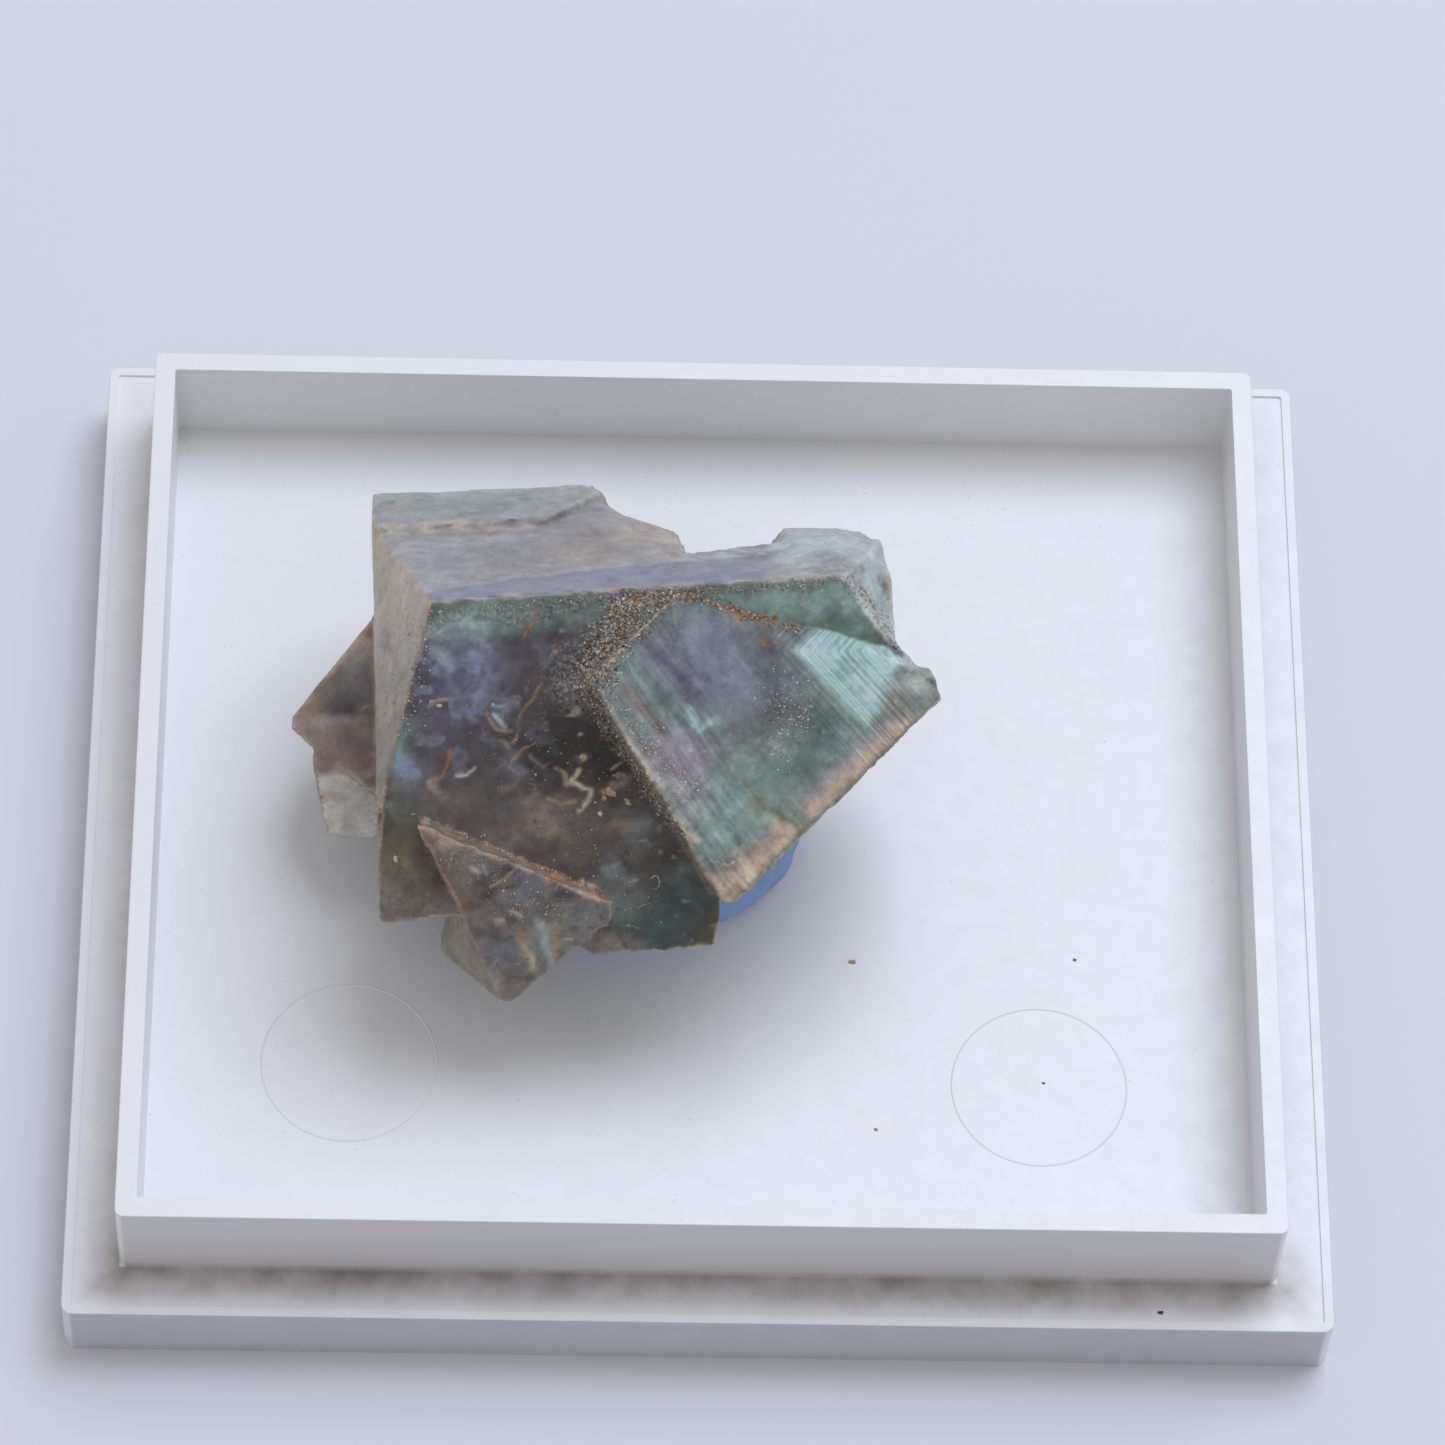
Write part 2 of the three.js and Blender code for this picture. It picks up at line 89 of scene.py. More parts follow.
# Materials: how they bend light, and colours that they use.
PLASTIC_IOR = 1.55
FLUORITE_IOR = 1.434
QUARTZ_IOR = 1.544
FILM_IOR = 1.5
CRYSTAL_CLEARNESS = 0.25
SUGAR_STRENGTH = 0.45
STREAK_ANGLE = -59
STREAK_SCALE = (5, 0.45, 1)
DARK_LINE = (0.68, 0.67, 0.70, 1)
PALE_LINE = (1.50, 1.48, 1.48, 1)
FILM_STAIN = (0.55, 0.50, 0.46)
QUARTZ_STAIN = (0.60, 0.56, 0.52)
PUTTY_DARK = (0.20, 0.34, 0.62)
PUTTY_PALE = (0.28, 0.44, 0.72)
# Brown dirt and painted shade on the plate at the foot of the rim.
GRIME_AND_SHADE_BROWN = (0.16, 0.10, 0.075, 1)
# Painted shade on the outer walls of the rim and of the plate.
RIM_WALL_PAINTED_SHADE = (0.80, 0.79, 0.80, 1)
PLATE_WALL_PAINTED_SHADE = (0.68, 0.69, 0.72, 1)
FLOOR_COLOUR = (0.78, 0.79, 0.83, 1)

# Paint: how fast patches and lines fade from their middles, how much painted light brightens the front and
# twin faces, and how much all colours are brightened.
PATCH_FALL = 1.1
STROKE_FALL = 1.3
PAINTED_GLOW = 0.1
OVERALL_LIFT = 1.4

# Colours of the minerals and the specks, each part from 0 to 255.
COLOURS = {
    "grey_green": (126, 140, 132),
    "teal": (112, 142, 132),
    "dark_teal": (66, 94, 90),
    "sea_green": (138, 164, 156),
    "mint": (178, 214, 206),
    "green": (104, 136, 122),
    "smoke": (88, 80, 76),
    "deep_smoke": (44, 38, 36),
    "olive": (112, 104, 78),
    "purple": (96, 89, 106),
    "deep_purple": (68, 62, 76),
    "lavender": (140, 146, 166),
    "blue_lavender": (150, 162, 182),
    "pink_lavender": (170, 156, 170),
    "grey_lavender": (132, 134, 148),
    "beige": (170, 158, 144),
    "tan": (178, 152, 122),
    "peach": (206, 180, 156),
    "cream": (206, 192, 166),
    "rust": (140, 88, 52),
    "orange": (178, 126, 76),
    "pale": (186, 186, 180),
    "grey_brown": (128, 118, 110),
    "grey_teal": (136, 148, 146),
    "pink_brown": (140, 116, 112),
    "pale_mint": (176, 192, 190),
    "light_grey": (158, 156, 158),
    "olive_grey": (138, 134, 118),
    "slate_lavender": (126, 127, 140),
    "fibre_blue": (92, 112, 152),
    "white_grey": (218, 214, 206),
}


def linear(colour):
    values = [v / 255 for v in COLOURS[colour]]
    return np.array([v / 12.92 if v <= 0.04045 else ((v + 0.055) / 1.055) ** 2.4 for v in values])


def cluster_matrix():
    turn_x, turn_y, turn_z = (math.radians(v) for v in CLUSTER_TURN)
    turn = Matrix.Rotation(turn_x, 4, "X") @ Matrix.Rotation(turn_y, 4, "Y")
    turn = turn @ Matrix.Rotation(turn_z, 4, "Z")
    return Matrix.Translation(Vector(CLUSTER_PLACE) * MM) @ turn @ Matrix.Scale(MM, 4)


# Noise

def lattice(x, y, z, seed):
    h = x * 374761393 + y * 668265263 + z * 1440662683 + seed * 974711
    h = (h ^ (h >> 13)) * 1274126177
    h = (h ^ (h >> 16)) & 0xFFFFFF
    return h / 0xFFFFFF


def value_noise(points, size, seed):
    """Smooth noise from 0 to 1 whose features are about size across."""
    scaled = points / size
    cell = np.floor(scaled).astype(np.int64)
    f = scaled - cell
    f = f * f * (3 - 2 * f)
    total = 0
    for corner in product((0, 1), repeat=3):
        weight = np.prod(np.where(corner, f, 1 - f), axis=1)
        total = total + weight * lattice(*(cell + corner).T, seed)
    return total


def cloud(points, size, seed, octaves=4):
    """Layered noise around 0, from about -1 to 1."""
    total = 0
    for i in range(octaves):
        total = total + (value_noise(points, size / 2**i, seed + i) - 0.5) * 0.5**i
    return total * 2


def facets(points, size, seed):
    """Heights of a broken surface of small tilted planes, each about size across, in parts of that size."""
    cell = np.floor(points[:, :2] / size).astype(np.int64)
    nearest = np.full(len(points), 1e9)
    height = np.zeros(len(points))
    for step in product((-1, 0, 1), repeat=2):
        i, j = (cell + step).T
        away_x = points[:, 0] / size - i - lattice(i, j, 0, seed)
        away_y = points[:, 1] / size - j - lattice(i, j, 0, seed + 1)
        distance = away_x**2 + away_y**2
        tilt_x, tilt_y, rise = (lattice(i, j, 0, seed + k) - 0.5 for k in (2, 3, 4))
        closer = distance < nearest
        height = np.where(closer, away_x * tilt_x + away_y * tilt_y + rise * 0.5, height)
        nearest = np.where(closer, distance, nearest)
    return height


def smoothstep(low, high, x):
    """0 at low, 1 at high and a smooth rise between them."""
    t = np.clip((x - low) / (high - low), 0, 1)
    return t * t * (3 - 2 * t)


def bell(points, middle, reach):
    """1 over the middle, in x and y, and close to 0 at twice the reach."""
    x, y = ((points[:, i] - middle[i]) / reach[i] for i in (0, 1))
    return np.exp(-x**2 - y**2)


# Meshes

def new_object(name, data):
    obj = bpy.data.objects.new(name, data)
    bpy.context.collection.objects.link(obj)
    return obj


def copy_of(node, name):
    return new_object(name, node.data.copy())


def modified(obj, kind, **settings):
    """The object after one modifier, which is applied."""
    modifier = obj.modifiers.new(kind.title(), kind)
    for name, value in settings.items():
        setattr(modifier, name, value)
    evaluated = obj.evaluated_get(bpy.context.evaluated_depsgraph_get())
    mesh = bpy.data.meshes.new_from_object(evaluated)
    obj.modifiers.clear()
    old = obj.data
    obj.data = mesh
    bpy.data.meshes.remove(old)
    return obj


def remeshed(obj, voxel):
    return modified(obj, "REMESH", mode="VOXEL", voxel_size=voxel * MM, use_smooth_shade=True)


@contextmanager
def editing(mesh):
    """The mesh opened for edits, which are written back at the end."""
    edit = bmesh.new()
    edit.from_mesh(mesh)
    yield edit
    edit.to_mesh(mesh)
    edit.free()


def welded(obj):
    """The object with its corners joined and its flat faces whole."""
    limit = math.radians(FLAT_ANGLE)
    with editing(obj.data) as edit:
        bmesh.ops.remove_doubles(edit, verts=edit.verts, dist=WELD_DISTANCE)
        bmesh.ops.dissolve_limit(edit, angle_limit=limit, verts=edit.verts, edges=edit.edges)
    return obj


def vectors_of(elements, attribute):
    """A vector for each vertex or face of a mesh."""
    values = np.empty(len(elements) * 3)
    elements.foreach_get(attribute, values)
    return values.reshape(-1, 3)


def carried(points, matrix):
    return points @ np.array(matrix.to_3x3()).T + np.array(matrix.translation)


def set_vertices(mesh, points):
    mesh.vertices.foreach_set("co", points.ravel())
    mesh.update()


def store_vectors(mesh, name, *columns):
    attribute = mesh.attributes.new(name, "FLOAT_VECTOR", "POINT")
    attribute.data.foreach_set("vector", np.column_stack(columns).astype(np.float32).ravel())


def store_paint(mesh, colours):
    values = np.column_stack([colours, np.ones(len(colours))])
    attribute = mesh.attributes.new("paint", "FLOAT_COLOR", "POINT")
    attribute.data.foreach_set("color", values.astype(np.float32).ravel())


def covered(piece, material):
    piece.data.materials.clear()
    piece.data.materials.append(material)
    return piece


def refined(piece, matrix):
    """Halve the mesh's steps on the faces that look out along the cluster's z."""
    mesh = piece.data
    to_cluster = matrix.inverted()
    depth = carried(vectors_of(mesh.polygons, "center"), to_cluster)[:, 2]
    out = vectors_of(mesh.polygons, "normal") @ np.array(to_cluster.to_3x3().normalized())[2]
    chosen = np.flatnonzero((depth > FINE_FACE_DEPTH) & (out > FINE_FACE_FACING))
    with editing(mesh) as edit:
        edit.faces.ensure_lookup_table()
        edges = {edge for i in chosen for edge in edit.faces[i].edges}
        bmesh.ops.subdivide_edges(edit, edges=list(edges), cuts=1, use_grid_fill=True)
        for face in edit.faces:
            face.smooth = True
    return piece


# Materials

class Tree:
    """A new material's nodes, with short ways to add more and to set the shader."""

    def __init__(self, name):
        self.material = bpy.data.materials.new(name)
        self.material.use_nodes = True
        self.nodes = self.material.node_tree.nodes
        self.shader = self.nodes["Principled BSDF"]

    def plug(self, socket, value):
        """Link another node's output to the socket, or set the socket's own value."""
        if isinstance(value, bpy.types.NodeSocket):
            self.material.node_tree.links.new(value, socket)
        else:
            socket.default_value = value

    def look(self, inputs):
        """The material, once the shader's inputs are set by name."""
        for name, value in inputs.items():
            self.plug(self.shader.inputs[name], value)
        return self.material

    def add(self, kind, inputs, **properties):
        """A node with its properties, and its inputs by name or number."""
        node = self.nodes.new(kind)
        for name, value in properties.items():
            setattr(node, name, value)
        for key, value in inputs.items():
            self.plug(node.inputs[key], value)
        return node

    def place(self):
        return self.add("ShaderNodeTexCoord", {}).outputs["Object"]

    def attribute(self, name, output):
        return self.add("ShaderNodeAttribute", {}, attribute_name=name).outputs[output]

    def parts(self, vector):
        return self.add("ShaderNodeSeparateXYZ", {0: vector}).outputs

    def noise(self, vector, scale, detail=4.0, roughness=0.55):
        inputs = {"Vector": vector, "Scale": scale, "Detail": detail, "Roughness": roughness}
        return self.add("ShaderNodeTexNoise", inputs).outputs["Fac"]

    def ramp(self, value, *stops):
        """A colour for the value: stops hold a place and a colour or a grey."""
        node = self.add("ShaderNodeValToRGB", {"Fac": value})
        elements = node.color_ramp.elements
        while len(elements) < len(stops):
            elements.new(0.5)
        for element, (place, colour) in zip(elements, stops):
            element.position = place
            element.color = (*np.broadcast_to(colour, 3), 1)
        return node.outputs["Color"]

    def remap(self, value, low, high, to_low, to_high):
        inputs = dict(enumerate((value, low, high, to_low, to_high)))
        return self.add("ShaderNodeMapRange", inputs).outputs[0]

    def math(self, operation, *values):
        return self.add("ShaderNodeMath", dict(enumerate(values)), operation=operation).outputs[0]

    def mix(self, factor, first, second, blend="MIX"):
        inputs = {0: factor, 6: first, 7: second}
        return self.add("ShaderNodeMix", inputs, data_type="RGBA", blend_type=blend).outputs[2]

    def tint(self, colour, layer, factor=1.0):
        return self.mix(factor, colour, layer, "MULTIPLY")

    def bump(self, height, strength, distance, **normal):
        inputs = {"Height": height, "Strength": strength, "Distance": distance, **normal}
        return self.add("ShaderNodeBump", inputs).outputs["Normal"]

    def turned(self, vector, angle, scale):
        """The vector turned about z, then divided by the scale, for noise that runs in streaks."""
        inputs = {"Vector": vector, "Rotation": (0, 0, math.radians(angle)), "Scale": scale}
        return self.add("ShaderNodeMapping", inputs, vector_type="TEXTURE").outputs[0]


def past_edge(tree, x, y, size):
    """How far outside an upright block of that size a point lies, in metres."""
    past = [tree.math("SUBTRACT", tree.math("ABSOLUTE", axis), length / 2 * MM)
            for axis, length in zip((x, y), size)]
    return tree.math("MAXIMUM", *past)


def flange_grime_and_shade(tree, place):
    """Brown dirt and painted shade on the plate round the rim, thickest at the foot of the front wall, from
    0 to 1.
    """
    x, y, z = tree.parts(place)
    beyond = past_edge(tree, x, y, RIM_SIZE)
    amount = tree.remap(beyond, 0, GRIME_AND_SHADE_REACH * MM, 1, 0.12)
    outside = tree.remap(beyond, -0.05 * MM, 0.02 * MM, 0, 1)
    low = tree.remap(z, (PLATE_TOP + WALL_FOOT) * MM, (PLATE_TOP + 0.5) * MM, 1, 0)
    front = tree.remap(y, -20 * MM, -24 * MM, 0.25, 1)
    patchy = tree.remap(tree.noise(place, 450, 5, 0.6), 0.3, 0.7, 0.4, 1)
    for factor in (outside, low, front, patchy):
        amount = tree.math("MULTIPLY", amount, factor)
    return amount


def outer_wall_shade_masks(tree, place):
    """Where painted shade darkens the base: the rim's outer walls and the plate's, each from 0 to 1."""
    x, y, z = tree.parts(place)
    rim, plate = (tree.remap(past_edge(tree, x, y, size), -0.06 * MM, -0.01 * MM, 0, 1)
                  for size in (RIM_SIZE, PLATE_SIZE))
    above_plate = tree.remap(z, (PLATE_TOP + WALL_FOOT) * MM, (PLATE_TOP + 0.4) * MM, 0, 1)
    return tree.math("MULTIPLY", rim, above_plate), plate


def plastic_material():
    tree = Tree("white_plastic")
    place = tree.place()
    rim, plate = outer_wall_shade_masks(tree, place)
    colour = tree.ramp(tree.noise(place, 150, 6), (0.3, 0.87), (0.7, 0.90))
    dust = tree.ramp(tree.noise(place, 5500, 2, 0.5), (0.70, 1), (0.76, (0.82, 0.80, 0.78)))
    colour = tree.tint(colour, dust)
    # Brown dirt and painted shade on the plate round the rim, most at the foot of the front wall.
    colour = tree.mix(flange_grime_and_shade(tree, place), colour, GRIME_AND_SHADE_BROWN)
    # Painted shade on the outer walls of the rim, then of the plate.
    colour = tree.tint(colour, RIM_WALL_PAINTED_SHADE, rim)
    return tree.look({
        "Base Color": tree.tint(colour, PLATE_WALL_PAINTED_SHADE, plate),
        "Roughness": tree.remap(tree.noise(place, 900, 3), 0.3, 0.7, 0.30, 0.42),
        "Normal": tree.bump(tree.noise(place, 700), 0.1, 0.00001),
        "IOR": PLASTIC_IOR,
    })


def putty_material():
    tree = Tree("blue_putty")
    place = tree.place()
    return tree.look({
        "Base Color": tree.ramp(tree.noise(place, 500), (0.3, PUTTY_DARK), (0.7, PUTTY_PALE)),
        "Roughness": 0.7,
        "Normal": tree.bump(tree.noise(place, 1600), 0.4, 0.0001),
    })


def fluorite_cloudiness(tree, place, colour):
    """Clouds, fine mottling and tiny pits in the stone's colour."""
    clouds = tree.ramp(tree.noise(place, 1.5, 6, 0.6), (0.3, (0.80, 0.80, 0.84)), (0.7, (1.18, 1.19, 1.16)))
    mottles = tree.ramp(tree.noise(place, 5.0, 5, 0.65),
                        (0.28, (0.84, 0.84, 0.86)), (0.72, (1.15, 1.15, 1.12)))
    pits = tree.ramp(tree.noise(place, 14.0, 3, 0.6),
                     (0.25, (0.8, 0.78, 0.76)), (0.42, 1), (0.62, 1), (0.78, (1.35, 1.35, 1.3)))
    for layer in (clouds, mottles, pits):
        colour = tree.tint(colour, layer)
    return colour


def fluorite_streaks(tree, place, colour, amount):
    long_noise = tree.noise(tree.turned(place, STREAK_ANGLE, STREAK_SCALE), 1.0)
    shade = tree.ramp(long_noise, (0.35, (0.66, 0.64, 0.66)), (0.65, 1.3))
    return tree.mix(amount, colour, tree.tint(colour, shade))


def fluorite_sugar(tree, place, colour, amount):
    """Fine grains of many colours where quartz is strewn over the stone."""
    cells = tree.add("ShaderNodeTexVoronoi", {"Vector": place, "Scale": 8.5})
    random_part = tree.parts(cells.outputs["Color"])[0]
    grains = tree.ramp(random_part, (0.1, (0.03, 0.025, 0.03)), (0.3, (0.15, 0.17, 0.17)),
                       (0.5, (0.26, 0.25, 0.24)), (0.62, (0.26, 0.12, 0.04)), (0.72, (0.42, 0.38, 0.32)),
                       (0.95, (0.60, 0.62, 0.60)))
    return tree.mix(tree.math("MULTIPLY", amount, SUGAR_STRENGTH), colour, grains)


def fluorite_growth_lines(tree, across):
    """Uneven fine lines, from 0 to 1."""
    line = tree.add("ShaderNodeCombineXYZ", {0: across}).outputs[0]
    return tree.remap(tree.noise(line, 7.0, 2, 0.6), 0.43, 0.60, 0, 1)


def fluorite_material():
    tree = Tree("fluorite")
    place = tree.attribute("place", "Vector")
    across, stria, rough = tree.parts(tree.attribute("relief", "Vector"))
    sugar, lines, streaks = tree.parts(tree.attribute("marks", "Vector"))
    growth = fluorite_growth_lines(tree, across)
    colour = fluorite_cloudiness(tree, place, tree.attribute("paint", "Color"))
    colour = fluorite_streaks(tree, place, colour, streaks)
    colour = fluorite_sugar(tree, place, colour, sugar)
    dark, pale = (tree.tint(colour, shade) for shade in (DARK_LINE, PALE_LINE))
    grain = tree.math("ADD", tree.noise(place, 3.0, 6, 0.6),
                      tree.math("MULTIPLY", sugar, tree.noise(place, 9.0, 2, 0.6)))
    ridges = tree.math("MULTIPLY", growth, stria)
    return tree.look({
        "Base Color": tree.mix(lines, colour, tree.mix(growth, dark, pale)),
        "Roughness": rough,
        "Normal": tree.bump(ridges, 0.6, 0.00003, Normal=tree.bump(grain, 0.6, 0.00007)),
        "IOR": FLUORITE_IOR,
        "Transmission Weight": CRYSTAL_CLEARNESS,
        "Subsurface Weight": 0.8,
        "Subsurface Radius": (1.0, 1.1, 1.1),
        "Subsurface Scale": 0.0005,
    })


def stained(tree, scale, darkest):
    """The painted colour under fine stains, and the noise that the stains follow."""
    grain = tree.noise(tree.place(), scale, 4, 0.6)
    shade = tree.ramp(grain, (0.3, darkest), (0.7, 1.3))
    return tree.tint(tree.attribute("paint", "Color"), shade), grain


def film_material():
    """Iron-stained skins and chips on the fluorite."""
    tree = Tree("mineral_film")
    colour, grain = stained(tree, 6000, FILM_STAIN)
    return tree.look({
        "Base Color": colour,
        "Roughness": tree.remap(grain, 0.3, 0.7, 0.35, 0.7),
        "Normal": tree.bump(grain, 0.5, 0.00003),
        "IOR": FILM_IOR,
    })


def quartz_material():
    tree = Tree("quartz")
    colour, grain = stained(tree, 5000, QUARTZ_STAIN)
    return tree.look({
        "Base Color": colour,
        "Roughness": tree.remap(grain, 0.3, 0.7, 0.08, 0.35),
        "IOR": QUARTZ_IOR,
        "Transmission Weight": CRYSTAL_CLEARNESS,
    })


def floor_material():
    return Tree("pale_floor").look({"Base Color": FLOOR_COLOUR, "Roughness": 0.8})


# The box base

def add_ejector_ring(edit, x, y):
    """The faint raised ring that an ejector pin leaves in the tray."""
    loops = []
    half = EJECTOR_LINE / 2
    for out, height in ((-half, -EJECTOR_SINK), (0, EJECTOR_HEIGHT), (half, -EJECTOR_SINK)):
        radius = EJECTOR_RADIUS + out
        loops.append([edit.verts.new(((x + radius * math.cos(math.tau * i / EJECTOR_STEPS)) * MM,
                                      (y + radius * math.sin(math.tau * i / EJECTOR_STEPS)) * MM,
                                      (TRAY_FLOOR + height) * MM)) for i in range(EJECTOR_STEPS)])
    for inner, outer in ((0, 1), (1, 2), (2, 0)):
        for i in range(EJECTOR_STEPS):
            j = (i + 1) % EJECTOR_STEPS
            edit.faces.new((loops[inner][i], loops[outer][i], loops[outer][j], loops[inner][j]))


def dress_box_base(node):
    piece = modified(welded(copy_of(node, "box_base_moulded")), "BEVEL", width=BEVEL * MM, segments=2,
                     limit_method="ANGLE", angle_limit=math.radians(BEVEL_ANGLE))
    with editing(piece.data) as edit:
        for x, y in EJECTOR_MARKS:
            add_ejector_ring(edit, x, y)
    return covered(piece, plastic_material())


# The fluorite

class Paint:
    """The colours of a mesh's points, in the cluster's frame."""

    def __init__(self, points, normals, base):
        self.points = points
        self.normals = normals
        self.colour = np.tile(linear(base), (len(points), 1))
        wide = np.stack([cloud(points, 1.4, 50 + i) for i in range(3)], axis=1)
        narrow = np.stack([cloud(points, 0.4, 60 + i, 2) for i in range(3)], axis=1)
        self.warped = points + 0.45 * wide + 0.12 * narrow
        self.shaken = points + 0.06 * wide + 0.06 * narrow
        self.ragged = 0.45 + 1.1 * value_noise(points, 0.45, 77)

    def lay(self, colour, weight):
        weight = np.clip(weight, 0, 1)[:, None]
        self.colour = self.colour * (1 - weight) + linear(colour) * weight

    def lift(self, where, amount):
        """Painted light: brighten the middle tones where given, as a glow of light through the clear stone.
        """
        bright = smoothstep(0.02, 0.16, self.colour.mean(axis=1))
        self.colour = self.colour * (1 + amount * where * bright)[:, None]

    def clouds(self, rows, where):
        """Cloudy patches: colour, noise where they start and are full, its size and seed, and strength."""
        for colour, low, high, size, seed, strength in rows:
            amount = smoothstep(low, high, cloud(self.points, size, seed))
            self.lay(colour, where * amount * strength)

    def zones(self, zones, where, axes=(0, 1)):
        """Soft patches: colour, centre and half-sizes along two axes, and strength."""
        flat = self.warped[:, axes]
        for colour, x, y, across, up, strength in zones:
            distance = np.hypot((flat[:, 0] - x) / across, (flat[:, 1] - y) / up)
            self.lay(colour, strength * np.exp(-PATCH_FALL * distance**2) * where)

    def strokes(self, strokes, where, axes=(0, 1)):
        """Lines: colour, width, strength and path."""
        flat = self.shaken[:, axes]
        for colour, width, strength, path in strokes:
            near = distance_to_path(flat, path) / (width * self.ragged)
            self.lay(colour, strength * np.exp(-((STROKE_FALL * near) ** 2)) * where)

    def inside(self, outline):
        """1 within a convex outline of x, y corners listed clockwise, fading over its edge."""
        reach = np.full(len(self.points), 1e9)
        for start, end in zip(outline, outline[1:] + outline[:1]):
            along = np.array(end) - np.array(start)
            out = np.array([-along[1], along[0]]) / np.linalg.norm(along)
            reach = np.minimum(reach, -(self.shaken[:, :2] - np.array(start)) @ out)
        return smoothstep(-0.08, 0.08, reach)

    def on_face(self, face, reach):
        """1 on the face and near it, where the surface looks the same way."""
        at, out = (np.array(v, dtype=float) for v in face)
        out /= np.linalg.norm(out)
        distance = np.abs((self.points - at) @ out)
        return smoothstep(reach, reach * 0.5, distance) * smoothstep(0.7, 0.9, self.normals @ out)

    def on_front(self):
        return self.on_face(FRONT, 0.6)

    def on_twin(self):
        return self.on_face(TWIN, 2.0) * self.inside(TWIN_OUTLINE)


def distance_to_path(flat, path):
    near = np.full(len(flat), 1e9)
    for start, end in zip(path[:-1], path[1:]):
        start, end = np.array(start), np.array(end)
        along = end - start
        t = np.clip(((flat - start) @ along) / (along @ along), 0, 1)
        near = np.minimum(near, np.linalg.norm(flat - start - t[:, None] * along, axis=1))
    return near


# A face is a point on it and the way it looks out.
FRONT = ((0, 0, 0), (0, 0, 1))
TWIN = ((10.84, -0.46, 0), (0.06, 0.16, 0.98))
SMALL = ((2.8, -11.8, 1.3), (-0.1, -0.3, 0.95))
LEFT_TWIN = ((-5.9, -7.5, -9.6), (-0.2, 0.2, 0.96))
LEFT_LOW = ((-5, -11, -9.4), (-0.2, -0.1, 0.97))

TWIN_OUTLINE = ((6.5, -4.2), (11.0, -0.5), (12.3, -0.85), (20.3, -3.7), (23.0, -6.2), (12.4, -14.9))

# Growth lines on the twin's face: the tip of the V and the ways its arms face.
CHEVRON_TIP = (15.83, -3.45)
UPPER_ARM_OUT = (-0.662, 0.749)
LOWER_ARM_OUT = (-0.777, -0.629)

# The middles of the haze on the front face and the snowy quartz on the twin, and how far they reach.
HAZE = (1.5, -4.0)
HAZE_REACH = (3.5, 3.5)
SNOW = (14.8, -6.3)
SNOW_REACH = (1.6, 1.8)

# The twin's right corner, where it is broken.
BROKEN_CORNER = (21.6, -5.0)

# Curls on the front face that are painted and also raised.
CREAM_CURL = ((6.14, -8.22), (5.86, -8.69), (6.21, -8.99), (6.65, -9.17), (6.55, -9.66), (6.08, -10.16))
TAN_CURL = ((5.15, -8.02), (5.58, -8.29), (5.64, -8.83))
SHORT_CURL = ((7.64, -8.60), (8.09, -8.56))
ORANGE_CURL = ((0.40, -6.89), (0.36, -7.57), (-0.03, -8.07), (-0.50, -8.49))

